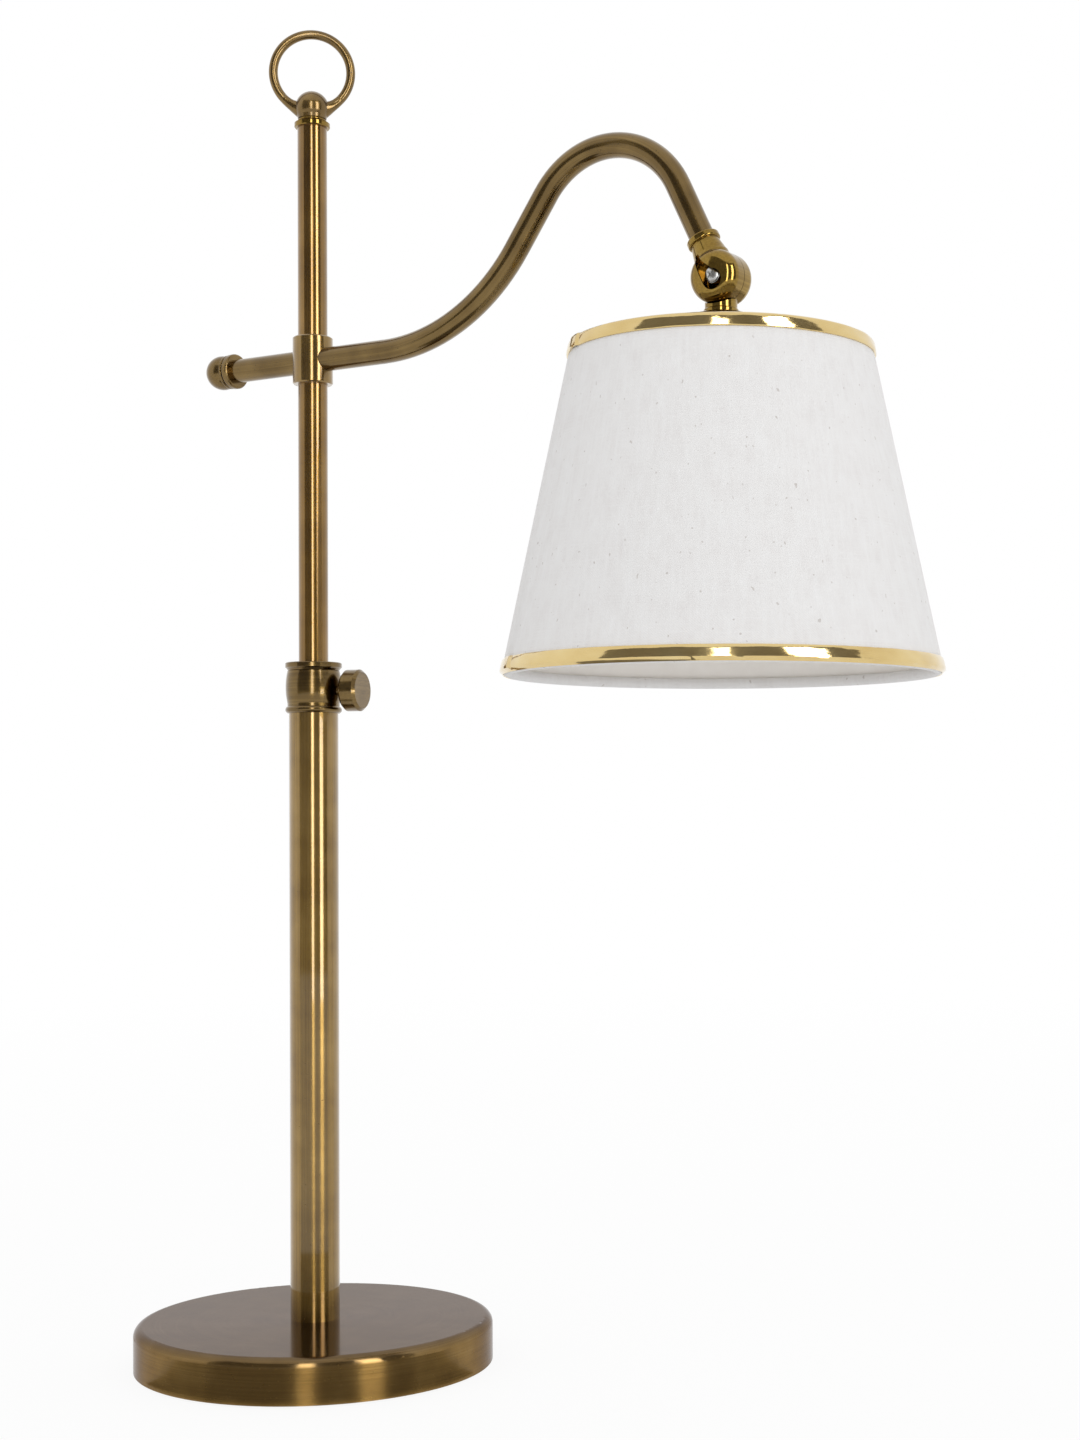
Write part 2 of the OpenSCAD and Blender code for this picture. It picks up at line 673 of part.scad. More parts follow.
module grub_screw() color(steel) translate([0, mast_r + seat_gap, arm_z]) rotate([-90, 0, 0]) difference() {
    cylinder(r = grub_d / 2, h = cross_r - mast_r - 0.4);
    translate([0, 0, 1]) cylinder(r = grub_d / 4, h = cross_r, $fn = 6);
}

// Cuts a tube's end to the mast's round face
module mast_saddle() cylinder(r = mast_r + 2 * seat_gap, h = 2 * big + mast_top);

module rear_stub() color(brass) difference() {
    translate([-tail_l + tail_ball_d / 2 + 1, 0, arm_z]) rotate([0, 90, 0])
        arm_straight(tail_l - tail_ball_d / 2 - 1 - arm_r / 2);
    mast_saddle();
}

module rear_finial() color(brass) translate([-tail_l, 0, arm_z]) rotate([0, 90, 0]) {
    ball_r = tail_ball_d / 2;
    flange_r = tail_flange_d / 2;
    // heights run from the ball's centre towards the mast
    turned() union() {
        intersection() {
            circle(ball_r);
            translate([0, -ball_r]) square([ball_r, ball_r + 3.8]);
        }
        translate([0, 3.5]) square([ball_r - 1.2, 3]);
        translate([0, 3.9]) square([ball_r - 0.9, 1.6]);
        translate([ball_r - 0.9, 4.7]) circle(0.8);
        translate([0, 6]) square([flange_r - 1.1, 3.8]);
        translate([0, 7.1]) square([flange_r, 1.6]);
        for (h = [7.1, 8.7]) translate([flange_r - 1.1, h]) circle(1.1);
    }
    translate([0, 0, ball_r + 1]) cylinder(r = arm_r - arm_t - seat_gap, h = 9);
}

module arm_tube() color(brass) difference() {
    union() {
        heading(arm_r / 2, arm_z, 0) arm_straight(arm_run - arm_r / 2);
        heading(arm_run, arm_z, 0) rotate([0, 0, 180]) arm_bend(rise_r, rise_a);
        heading(rise_x, rise_z, rise_a) arm_straight(mid_run);
        heading(crest_x, crest_z, rise_a) arm_bend(fall_r, rise_a + fall_a);
        heading(fall_x, fall_z, -fall_a) arm_straight(end_run - bell_l + tube_seat);
    }
    mast_saddle();
}

module arm_ferrule() color(bright_brass) at_arm_end() translate([0, 0, bell_l])
    turned() difference() {
        union() {
            square([ferrule_d / 2 - 0.8, ferrule_h]);
            translate([0, 0.8]) square([ferrule_d / 2, ferrule_h - 1.6]);
            for (h = [0.8, ferrule_h - 0.8]) translate([ferrule_d / 2 - 0.8, h]) circle(0.8);
        }
        square([arm_r + seat_gap, ferrule_h]);
    }

// ---- knuckle: the joint's axis is y, and the front looks along -y ----

// Section of a half's outside, as radius and depth: a straight rim, a rounded edge, a slightly domed face
module half_profile(depth) union() {
    edge_y = depth - edge_fall;
    slope = edge_run / (edge_y - depth + face_r);
    translate([0, joint_y]) square([drum_r, edge_y - joint_y]);
    intersection() {
        translate([edge_run, edge_y]) circle(half_edge_r);
        translate([edge_run, edge_y]) square(half_edge_r);
    }
    intersection() {
        translate([0, depth - face_r]) circle(face_r);
        polygon([[0, edge_y], [edge_run, edge_y], [edge_run + slope * edge_fall, edge_y + edge_fall],
            [0, edge_y + edge_fall]]);
    }
}

// Section of a half's hollow, down to a depth
module hollow_profile(depth) translate([0, joint_y + floor_t])
    rounded_profile(cavity_r, depth - joint_y - floor_t, cavity_edge_r);

// Turns a section to the knuckle's axis, with its depth along -y or, for the rear half, along +y
module front_half() rotate([90, 0, 0]) turned() children();
module rear_half() rotate([-90, 0, 0]) turned() children();

// The window's straight part, which narrows upwards beside the arm's axis into the bell
module window_wedge() translate([0, -window_floor_y, 0]) rotate([90, 0, 0]) linear_extrude(big)
    polygon([[window_x, -window_drop], [window_r - 0.6, 1 - window_drop], [window_x + 3.8, bell_foot - 0.4],
        [window_x + window_w, window_l], [window_x, window_l]]);

module knuckle_upper() color(bright_brass) at_arm_end() difference() {
    union() {
        difference() {
            union() {
                front_half() half_profile(front_t);
                // bell, clear of the rear half
                difference() {
                    translate([0, 0, bell_foot]) turned() polygon([[0, 0], [bell_d / 2 + 0.3, 0],
                        [bell_d / 2 + 0.3, bell_foot_h], [bell_d / 2 - 0.2, bell_foot_h + 1.6],
                        [bell_neck_r, bell_l - bell_foot - 0.6], [bell_neck_r, bell_l - bell_foot],
                        [0, bell_l - bell_foot]]);
                    pivot_cylinder(drum_r + pass_gap, -joint_y, big);
                }
            }
            front_half() hollow_profile(front_t - face_t);
            translate([window_mid, 0, -window_drop]) pivot_cylinder(window_r, -big, -window_floor_y);
            window_wedge();
        }
        pivot_cylinder(post_r, -post_y, -joint_y - floor_t);
    }
    pivot_cylinder(pivot_d / 2 + run_gap, -big, big);
    cylinder(r = wire_way_r, h = big);
    translate([0, 0, bell_l - tube_seat]) cylinder(r = arm_r + seat_gap, h = big);
}

module knuckle_lower() color(bright_brass) at_knuckle() difference() {
    union() {
        difference() {
            union() {
                rear_half() half_profile(rear_t);
                // neck, clear of the front half
                difference() {
                    translate([0, 0, -head_neck_l]) cylinder(d = head_neck_d, h = head_neck_l - bell_foot);
                    pivot_cylinder(drum_r + pass_gap, -big, joint_y);
                }
                translate([0, 0, ring_z]) cylinder(d = nipple_d + 2 * neck_wall, h = neck_ring_h + eps);
            }
            rear_half() hollow_profile(rear_t - 2 * face_t);
        }
        pivot_cylinder(post_r, joint_y + floor_t, rear_t - face_t);
    }
    pivot_cylinder(pivot_d / 2 + seat_gap, -big, pivot_end_y);
    translate([0, 0, -big]) cylinder(r = wire_way_r, h = big - bell_foot);
    translate([0, 0, ring_z - eps]) cylinder(r = nipple_d / 2 + seat_gap, h = nipple_top_z - ring_z + eps);
}

module knuckle_screw() color(steel) at_knuckle() difference() {
    union() {
        pivot_cylinder(pivot_d / 2, -head_y, pivot_end_y);
        intersection() {
            pivot_cylinder(pivot_head_d / 2, -head_y - pivot_head_h, -head_y);
            translate([0, pivot_head_d - head_y - pivot_head_h, 0]) sphere(pivot_head_d);
        }
    }
    for (a = [0, 90]) rotate([0, 45 + a, 0])
        translate([-pivot_head_d / 3, -head_y - pivot_head_h - eps, -0.4])
            cube([pivot_head_d * 2 / 3, pivot_head_h * 0.6, 0.8]);
}

module knuckle_washer() color(steel) at_knuckle() difference() {
    pivot_cylinder(post_r, -head_y, -post_y);
    pivot_cylinder(pivot_d / 2 + run_gap, -big, big);
}

// ---- head: lampholder and bulb ----

module neck_ring() color(bright_brass) at_knuckle() translate([0, 0, ring_z])
    bevelled_ring(neck_ring_d / 2, nipple_d / 2 + neck_wall + seat_gap, neck_ring_h, 0.5);

module head_nipple() color(steel) at_knuckle() translate([0, 0, nipple_top_z - head_nipple_l])
    tube(nipple_d / 2, nipple_bore_d / 2, head_nipple_l);

module nipple_nut() color(steel) at_knuckle() translate([0, 0, ring_z - cap_shell_t - nut_h])
    hex_nut(nut_af, nut_h, nipple_d / 2 + seat_gap);

module socket_cap() color(brass) at_knuckle() translate([0, 0, cap_z]) difference() {
    turned() difference() {
        rounded_profile(cap_shell_d / 2, cap_shell_h, cap_shoulder_r);
        rounded_profile(cap_shell_d / 2 - cap_shell_t, cap_shell_h - cap_shell_t,
            cap_shoulder_r - cap_shell_t);
    }
    cylinder(r = nipple_d / 2 + seat_gap, h = big);
}

module lampholder() color(nylon) at_knuckle() difference() {
    union() {
        translate([0, 0, skirt_z]) cylinder(r = skirt_r, h = skirt_l);
        translate([0, 0, shoulder_z]) cylinder(r = skirt_r + shoulder_out, h = shoulder_h);
        // collar that the cap slips over
        translate([0, 0, cap_z]) cylinder(r = cap_shell_d / 2 - cap_shell_t - seat_gap, h = cap_shell_h / 3);
    }
    translate([0, 0, skirt_z - eps]) cylinder(r = holder_in_r, h = holder_floor_z - skirt_z + eps);
    translate([0, 0, cap_z + 2]) cylinder(r = holder_in_r, h = cap_shell_h);
}

module screw_shell() color(gold) at_knuckle() translate([0, 0, skirt_z + 2]) difference() {
    cylinder(r = shell_r + shell_t, h = holder_floor_z - skirt_z - 2);
    translate([0, 0, -eps]) cylinder(r = shell_r, h = holder_floor_z - skirt_z - 2 - shell_t + eps);
    cylinder(d = screw_cap_d / 2, h = big);
}

module centre_contact() color(gold) at_knuckle() translate([0, 0, bulb_tip_z])
    cylinder(d = screw_cap_d / 3, h = contact_h);

module shade_ring_nut() color(nylon) at_knuckle() translate([0, 0, shade_nut_z])
    bevelled_ring(skirt_r + shade_nut_w, skirt_r + seat_gap, shade_nut_h, 1);

module bulb_contact() color(steel) at_knuckle() translate([0, 0, screw_cap_z])
    cylinder(r1 = screw_cap_d / 4, r2 = screw_cap_d / 8, h = bulb_tip_h);

module bulb_cap() color(steel) at_knuckle() translate([0, 0, glass_z]) {
    cylinder(d = screw_cap_d, h = screw_cap_l);
    translate([0, 0, screw_cap_l - screw_pitch])
        thread_rings(screw_cap_d / 2, thread_r, screw_pitch, screw_turns);
}

// The glass as a ball and a cone that comes out of it and ends at the neck
module glass_shape(ball, neck) {
    meet_z = bulb_mid_z + ball * cos(glass_meet_a);
    translate([0, 0, bulb_mid_z]) sphere(ball);
    translate([0, 0, meet_z])
        cylinder(r1 = (ball - 0.5) * sin(glass_meet_a), r2 = neck, h = glass_z - meet_z);
}

module bulb_glass() color(clear) at_knuckle() difference() {
    glass_shape(bulb_r, bulb_neck_d / 2);
    glass_shape(bulb_r - glass_t, bulb_neck_d / 2 - glass_t);
}

// ---- head: shade ----

// Sets +Y up the shade's slope from its bottom edge, and +X out of the linen
module at_bottom_edge() translate([shade_bottom_d / 2, shade_bottom_z]) rotate(shade_a) children();

// Sets -Y down the slope from the top edge
module at_top_edge() translate([shade_top_d / 2, shade_top_z]) rotate(shade_a) children();

// Section of a hem that turns inwards round the wire at an edge y = 0, with the linen above it
module hem_profile() difference() {
    union() {
        translate([-hem_r, hem_r]) circle(hem_r);
        translate([-shade_t, hem_r]) square([shade_t, slant_l / 2 - hem_r]);
    }
    translate([-hem_r, hem_r]) circle(hem_in_r);
    translate([-shade_t - hem_slit, hem_r]) square([hem_slit, 2 * hem_r]);
}

// The spokes climb from the hub ring to the top wire
module spoke_set(r) for (i = [0 : spokes - 1]) rotate([0, 0, spoke_turn + i * 360 / spokes])
    translate([hub_mid_r, 0, spoke_foot_z]) rotate([0, atan2(spoke_run, spoke_rise), 0])
        cylinder(r = r, h = sqrt(spoke_run * spoke_run + spoke_rise * spoke_rise));

// The linen with its two hems, and a notch in the upper hem for each spoke
module shade_linen() color(linen) at_knuckle() difference() {
    turned() union() {
        at_bottom_edge() hem_profile();
        at_top_edge() mirror([0, 1]) hem_profile();
    }
    spoke_set(spoke_d / 2 + seat_gap);
}

module bottom_trim() color(gold) at_knuckle() turned() at_bottom_edge() square([trim_t, trim_w]);

module top_trim() color(gold) at_knuckle() turned() at_top_edge()
    translate([0, -trim_w]) square([trim_t, trim_w]);

module top_wire() color(steel) at_knuckle() turned() at_top_edge()
    translate([-hem_r, -hem_r]) circle(wire_r);

module bottom_wire() color(steel) at_knuckle() turned() at_bottom_edge()
    translate([-hem_r, hem_r]) circle(wire_r);

module shade_spider() color(steel) at_knuckle() {
    translate([0, 0, hub_z]) tube(hub_out_r, hub_in_r, hub_t);
    spoke_set(spoke_d / 2);
}

base_cover();
base_weight();
base_pad();
cord_bushing();
stem_tube();
stem_plug();
stem_nipple();
stem_washer();
stem_nut();
clamp_collar();
guide_bush();
grip_pad();
clamp_screw();
clamp_knob();
mast_foot();
mast_tube();
retaining_rings();
finial_collar();
ring_finial();
cross_collar();
grub_screw();
rear_stub();
rear_finial();
arm_tube();
arm_ferrule();
knuckle_upper();
knuckle_lower();
knuckle_screw();
knuckle_washer();
neck_ring();
head_nipple();
nipple_nut();
socket_cap();
lampholder();
screw_shell();
centre_contact();
shade_ring_nut();
shade_spider();
top_wire();
bottom_wire();
shade_linen();
top_trim();
bottom_trim();
bulb_glass();
bulb_cap();
bulb_contact();
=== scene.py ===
# %% [markdown]
# # An adjustable bridge-arm table lamp
# The lamp's solids were drawn first and come in as a fixed frame: every piece already stands where
# it belongs, in metres, with +Z up. Modelling them again here would put their fit at risk, so this
# lesson gives each of them a finish, adds the cast roots of the finial, makes the linen shade and
# its two gilt bands again as cloth and tape, and sets the lamp in a plain studio.

# %% Load the frame
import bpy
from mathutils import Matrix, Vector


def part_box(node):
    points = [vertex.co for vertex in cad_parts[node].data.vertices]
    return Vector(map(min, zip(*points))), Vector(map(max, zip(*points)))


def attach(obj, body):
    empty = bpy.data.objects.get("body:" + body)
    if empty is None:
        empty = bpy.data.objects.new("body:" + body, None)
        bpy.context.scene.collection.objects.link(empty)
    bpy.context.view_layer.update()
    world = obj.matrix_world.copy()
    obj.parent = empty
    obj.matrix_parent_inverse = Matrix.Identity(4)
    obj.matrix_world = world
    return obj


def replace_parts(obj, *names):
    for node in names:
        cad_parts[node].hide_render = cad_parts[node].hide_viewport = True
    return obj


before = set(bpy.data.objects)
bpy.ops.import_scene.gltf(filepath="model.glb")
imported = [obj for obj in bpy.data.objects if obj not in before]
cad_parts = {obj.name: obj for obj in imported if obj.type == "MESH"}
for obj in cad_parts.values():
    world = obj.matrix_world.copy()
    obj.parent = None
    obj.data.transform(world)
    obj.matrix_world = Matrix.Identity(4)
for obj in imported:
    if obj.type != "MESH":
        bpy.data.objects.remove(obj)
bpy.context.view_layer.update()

# %% [markdown]
# ## The camera
# A table lamp is pictured from about half its height, so that the tubes stay upright. A camera
# tilted to centre the lamp would make them lean, so the frame is shifted instead, as with a view
# camera. The lens is longer than normal, so that near parts don't look too large.

# %% Place the camera
import math

import bpy
from mathutils import Quaternion, Vector

camera_place = Vector((0.75767, -0.90303, 0.27617))
view_line = Vector((-0.49957, 0.86622, 0.00925))
camera_roll = -0.0042218
lens_mm = 56.81
shift_across, shift_up = -0.12196, 0.05421


def add_object(name, data):
    """An object for this data, linked into the scene."""
    made = bpy.data.objects.new(name, data)
    bpy.context.scene.collection.objects.link(made)
    return made


camera = add_object("camera", bpy.data.cameras.new("camera"))
camera.location = camera_place
camera.rotation_mode = "QUATERNION"
camera.rotation_quaternion = (
    view_line.to_track_quat("-Z", "Y") @ Quaternion((0, 0, 1), camera_roll)
)
camera.data.lens = lens_mm
camera.data.shift_x, camera.data.shift_y = shift_across, shift_up
bpy.context.scene.camera = camera
print("camera at", tuple(camera.location), "with a", lens_mm, "mm lens")

# %% [markdown]
# ## Sums on shader sockets
# A finish is mostly arithmetic on positions: how far along the grain, how close to an edge. Each
# sum could be a Math node linked by hand, but typing it as Python is easier to read, so an output
# socket is wrapped in a small class whose operators each add one Math node.


# %% Wrap a socket
class Wire:
    """A number on its way through the nodes of one finish."""

    def __init__(self, finish, socket):
        self.finish, self.socket = finish, socket

    def __add__(self, other):
        return self.finish.maths("ADD", self, other)

    def __sub__(self, other):
        return self.finish.maths("SUBTRACT", self, other)

    def __rsub__(self, other):
        return self.finish.maths("SUBTRACT", other, self)

    def __mul__(self, other):
        return self.finish.maths("MULTIPLY", self, other)

    def __pow__(self, other):
        return self.finish.maths("POWER", self, other)

    def __gt__(self, other):
        return self.finish.maths("GREATER_THAN", self, other)

    __radd__, __rmul__ = __add__, __mul__


print("operators of a wire:", [name for name in vars(Wire) if name.startswith("__")])

# %% [markdown]
# ## One method for every node
# Adding a node, setting it and linking it takes a line for each socket, and a finish of ten nodes
# would fill a page. One method takes a node's kind, its settings, and the values or wires of its
# sockets instead. The noise, the ramp and the relief that most finishes need are short calls of it.


# %% Build nodes through one method
class Finish:
    """A material, or the world, while its nodes are laid."""

    def __init__(self, owner):
        owner.use_nodes = True
        self.tree = owner.node_tree
        self.tree.nodes.clear()

    def node(self, kind, settings, sockets, output=0):
        """Adds a node: its settings first, then the values or wires of its sockets."""
        made = self.tree.nodes.new(kind)
        for name, value in settings.items():
            if name == "stops":
                for place, colour in value[1:-1]:
                    made.color_ramp.elements.new(place).color = colour
                for end in (0, -1):
                    made.color_ramp.elements[end].position = value[end][0]
                    made.color_ramp.elements[end].color = value[end][1]
            else:
                setattr(made, name, value)
        for name, value in sockets.items():
            if isinstance(value, Wire):
                self.tree.links.new(value.socket, made.inputs[name])
            else:
                made.inputs[name].default_value = value
        return Wire(self, made.outputs[output]) if len(made.outputs) else made

    def maths(self, operation, *values):
        """One Math node on numbers or wires."""
        return self.node("ShaderNodeMath", {"operation": operation}, dict(enumerate(values)))

    def noise(self, vector, scale, detail=2.0, fourth=None, rough=0.5):
        """Soft noise from 0 to 1 at a vector, with a fourth coordinate where one is given."""
        sockets = {"Vector": vector, "Scale": scale, "Detail": detail, "Roughness": rough}
        if fourth is None:
            return self.node("ShaderNodeTexNoise", {"noise_dimensions": "3D"}, sockets)
        sockets["W"] = fourth
        return self.node("ShaderNodeTexNoise", {"noise_dimensions": "4D"}, sockets)

    def vector(self, x, y, z):
        """Three numbers as one vector."""
        return self.node("ShaderNodeCombineXYZ", {}, {"X": x, "Y": y, "Z": z})

    def place(self, kind="Object"):
        """The point being shaded as a vector and its three numbers."""
        point = self.node("ShaderNodeTexCoord", {}, {}, kind)
        numbers = [self.node("ShaderNodeSeparateXYZ", {}, {"Vector": point}, a) for a in range(3)]
        return point, *numbers

    def ramp(self, factor, *stops):
        """A colour for a number, through stops of (place, (red, green, blue))."""
        full = [(place, (*colour, 1)) for place, colour in stops]
        return self.node("ShaderNodeValToRGB", {"stops": full}, {"Fac": factor})

    def mixed(self, factor, first, second, blend="MIX"):
        """The first colour, a wire, mixed by the factor with the second, (red, green, blue)."""
        return self.node("ShaderNodeMix", {"data_type": "RGBA", "blend_type": blend},
                         {0: factor, 6: first, 7: (*second, 1)}, 2)

    def between(self, factor, low, high):
        """A number that runs from low to high as the factor runs from 0 to 1."""
        return factor * (high - low) + low

    def relief(self, height, depth, strength=1.0):
        """A normal bent by a height from 0 to 1 that is depth metres deep."""
        return self.node("ShaderNodeBump", {},
                         {"Height": height, "Distance": depth, "Strength": strength})

    def surface(self, sockets):
        """The shader and the output that end a material."""
        shader = self.node("ShaderNodeBsdfPrincipled", {}, sockets)
        self.node("ShaderNodeOutputMaterial", {}, {"Surface": shader})


def new_finish(name):
    """A new material with this name, and the finish that lays its nodes."""
    material = bpy.data.materials.new(name)
    return material, Finish(material)


print("helpers of a finish:", [name for name in vars(Finish) if not name.startswith("_")])

# %% [markdown]
# ## The arm's centre line
# The arm is one tube with a wide rise, a short straight run and a tighter fall, and its brushing
# bends with it. A UV map could carry the streaks round the bends, but the solids' meshes are left
# alone. The streaks need only one number that knows of the bends: how far a point lies above the
# tube's centre line. That line is made of arcs and straights, so the number is worked out for each
# stretch, and each stretch takes over where the one before it ends.

# %% Follow the bent arm
arm_run, rise_r, rise_a = 0.0466, 0.0992, math.radians(54.3)
mid_run, fall_r, fall_a = 0.0293, 0.0433, math.radians(63.9)
arm_z = sum(corner.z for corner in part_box("cross_collar")) / 2
bend_end = Vector((arm_run + rise_r * math.sin(rise_a), arm_z + rise_r * (1 - math.cos(rise_a))))
crest = bend_end + mid_run * Vector((math.cos(rise_a), math.sin(rise_a)))
crest_hub = crest + fall_r * Vector((math.sin(rise_a), -math.cos(rise_a)))
fall_end = crest_hub + fall_r * Vector((math.sin(fall_a), math.cos(fall_a)))


def across_arm(x, z):
    """How far a point lies above the arm's centre line, measured square to it."""
    def past(start, slope):
        return (x - start.x) * math.cos(slope) + (z - start.y) * math.sin(slope) > 0.0

    def above_line(start, slope):
        return (z - start.y) * math.cos(slope) - (x - start.x) * math.sin(slope)

    def from_hub(hub_x, hub_z):
        return ((x - hub_x) * (x - hub_x) + (z - hub_z) * (z - hub_z)) ** 0.5

    start = Vector((arm_run, arm_z))
    stretches = [
        (past(start, 0.0), rise_r - from_hub(arm_run, arm_z + rise_r)),
        (past(bend_end, rise_a), above_line(bend_end, rise_a)),
        (past(crest, rise_a), from_hub(*crest_hub) - fall_r),
        (past(fall_end, -fall_a), above_line(fall_end, -fall_a)),
    ]
    height = z - arm_z
    for reached, there in stretches:
        height = height + reached * (there - height)
    return height


print("the straight run ends at", tuple(round(n, 4) for n in crest))

# %% [markdown]
# ## The grain of a metal
# Each way of working metal leaves its own grain. The grain could be an image, but noise that is
# squeezed across the brushing direction has no seam and keeps its scale on each piece. A tube's
# grain runs up it, a turned piece's runs round its axis, which needs a fourth coordinate for the
# radius, and a casting has no direction at all.

# %% Squeeze the grain
grain_fine, grain_long, grain_cast = 1500.0, 14.0, 160.0


def grain_coordinates(paint, grain):
    """The point, and a vector and a fourth coordinate that are squeezed across the grain."""
    point, x, y, z = paint.place()
    fine, slow, even = grain_fine, grain_long, grain_cast
    if grain == "drawn":
        return point, paint.vector(x * fine, y * fine, z * slow), 0.0
    if grain == "bent":
        return point, paint.vector(x * slow, y * fine, across_arm(x, z) * fine), 0.0
    if grain == "cast":
        return point, paint.vector(x * even, y * even, z * even), 0.0
    radius = (x * x + y * y) ** 0.5
    return point, paint.vector(x * slow, y * slow, z * fine), radius * fine


print("one streak is about", round(1000 / grain_fine, 2), "mm wide")

# %% [markdown]
# Every metal of the lamp could have a shader of its own, but they differ only in numbers, so one
# function makes them all. Streaks and slow clouds choose the tone and the gloss, and pinpoint
# specks of tarnish are darker and duller. The spun base's top is given painted shade: from some
# height up the function can multiply the colour by a darker, greyer tint, which stands in for the
# duller light that the top mirrors, and it can also change the gloss.

# %% Write a metal
cloud_scale, speck_scale, speck_from = 55.0, 900.0, 0.735
speck_dulls, speck_darkens = 0.15, 0.35
half_blend = 0.002


def metal(name, grain, tones, roughness, speck=0.5, depth=0.000005, gloss=None, above=None):
    """A brushed metal: tones are its dark, middle and light colour, gloss is any lacquer or grain.

    Where above is (height, tint, smoothing), from that height up the colour is multiplied by the
    tint, which is painted shade, and the roughness loses that share.
    """
    material, paint = new_finish(name)
    point, squeezed, fourth = grain_coordinates(paint, grain)
    streak = paint.noise(squeezed, 1.0, 3.0, fourth)
    cloud = paint.noise(point, cloud_scale, 3.0)
    tarnish = paint.noise(point, speck_scale, 1.0) > speck_from
    shade = streak * 0.5 + cloud * 0.5
    clean = paint.ramp(shade, (0.3, tones[0]), (0.5, tones[1]), (0.72, tones[2]))
    rough = paint.between(streak * 0.6 + cloud * 0.4, *roughness) + tarnish * speck_dulls
    # Painted shade: from this height up the colour is multiplied by a darker, greyer tint.
    if above:
        height, tint, smoothing = above
        reached = paint.node("ShaderNodeMapRange", {}, {
            "Value": paint.place()[3], "From Min": height - half_blend,
            "From Max": height + half_blend})
        clean = paint.mixed(reached, clean, tint, "MULTIPLY")
        rough = rough * (1 - reached * smoothing)
    paint.surface({
        "Base Color": paint.mixed(tarnish * speck, clean, [c * speck_darkens for c in tones[0]]),
        "Metallic": 1.0,
        "Roughness": rough,
        "Normal": paint.relief(streak, depth),
        **(gloss or {}),
    })
    return material


print("tarnish where its noise is above", speck_from)

# %% [markdown]
# ## Antique brass
# The tubes are drawn brass, brushed along their length, darkened in a bath, rubbed back and
# lacquered, so the colour is a brown gold with faint streaks and pinpoint specks. One brass for all
# would be simpler, but the stem and the mast are lighter than the arm, and the cast ring has no
# streaks. On the two straight tubes anisotropy stands for grain too fine to draw: it pulls each
# highlight out into a stripe.

# %% Make the antique brass
lacquer = {"Coat Weight": 0.5, "Coat Roughness": 0.04}
long_grain = {**lacquer, "Anisotropic": 0.85, "Anisotropic Rotation": 0.25, "Coat Weight": 1.0}
stem_tones = ((0.165, 0.092, 0.020), (0.260, 0.158, 0.038), (0.35, 0.225, 0.070))
mast_tones = ((0.142, 0.069, 0.009), (0.220, 0.115, 0.016), (0.31, 0.175, 0.038))
brown_tones = ((0.092, 0.054, 0.013), (0.162, 0.100, 0.028), (0.250, 0.164, 0.054))
cast_tones = ((0.120, 0.072, 0.022), (0.190, 0.118, 0.036), (0.27, 0.175, 0.058))
antique = {
    "stem": metal("antique_brass_stem", "drawn", stem_tones, (0.19, 0.31),
                  speck=0.4, depth=0.000002, gloss=long_grain),
    "mast": metal("antique_brass_mast", "drawn", mast_tones, (0.19, 0.31),
                  speck=0.4, depth=0.000002, gloss=long_grain),
    "bent": metal("antique_brass_bent", "bent", brown_tones, (0.13, 0.24), gloss=lacquer),
    "turned": metal("antique_brass_turned", "turned", brown_tones, (0.16, 0.26),
                    speck=0.4, depth=0.000004, gloss=lacquer),
    "cast": metal("antique_brass_cast", "cast", cast_tones, (0.20, 0.30),
                  speck=0.0, depth=0.000002, gloss=lacquer),
}
print("antique brass:", sorted(antique))

# %% [markdown]
# ## Spun brass
# The base is spun from sheet and turned with a coarse tool. Its fine rings spread every reflection
# across them, so its top looks almost matt. They could be cut as real grooves, but they are finer
# than a pixel, so anisotropy stands for them. Its light glances off browner than that of the tubes,
# which is the specular tint.

# %% Make the spun brass of the base
base_tones = ((0.168, 0.097, 0.027), (0.236, 0.141, 0.040), (0.31, 0.197, 0.068))
base_grain = {"Anisotropic": 0.95, "Anisotropic Rotation": 0.25, "Coat Weight": 0.3,
              "Coat Roughness": 0.15, "Specular Tint": (0.51, 0.475, 0.475, 1)}
# Painted shade on the base's top: from top_from up its colour is multiplied by this darker, greyer
# tint, which stands in for the duller light that the top mirrors.
top_from, top_painted_shade, top_smoothing = 0.0205, (0.60, 0.64, 0.95), 0.45
antique["spun"] = metal("antique_brass_spun", "turned", base_tones, (0.20, 0.30),
                        speck=0.3, depth=0.0000015, gloss=base_grain,
                        above=(top_from, top_painted_shade, top_smoothing))
print("spun brass:", antique["spun"].name)

# %% [markdown]
# ## Bright metals
# The knuckle, the ferrule and the small collars are rubbed brighter: the same brass with more
# yellow, a tighter highlight and fewer specks. Screws and wires are steel, the lampholder's
# contacts are bare brass, and the bulb's cap is aluminium. Each could have a shader of its own, but
# all are turned metal, so the function for brass makes them with other tones.

# %% Make the bright metals
polished_tones = ((0.172, 0.100, 0.015), (0.265, 0.165, 0.029), (0.40, 0.265, 0.060))
steel_tones = ((0.42, 0.42, 0.41), (0.55, 0.55, 0.54), (0.68, 0.68, 0.67))
contact_tones = ((0.5, 0.38, 0.15), (0.62, 0.48, 0.21), (0.72, 0.58, 0.3))
aluminium_tones = ((0.58, 0.58, 0.58), (0.68, 0.68, 0.68), (0.78, 0.78, 0.78))
polished = metal("polished_brass_turned", "turned", polished_tones, (0.07, 0.14), speck=0.3,
                 depth=0.000002, gloss={"Coat Weight": 0.3, "Coat Roughness": 0.04})
steel = metal("bright_steel", "turned", steel_tones, (0.14, 0.32), speck=0.2)
contact = metal("contact_brass_bright", "turned", contact_tones, (0.2, 0.34), speck=0.3)
aluminium = metal("cap_aluminium", "turned", aluminium_tones, (0.22, 0.38), speck=0.2)
print("bright metals:", polished.name, steel.name, contact.name, aluminium.name)

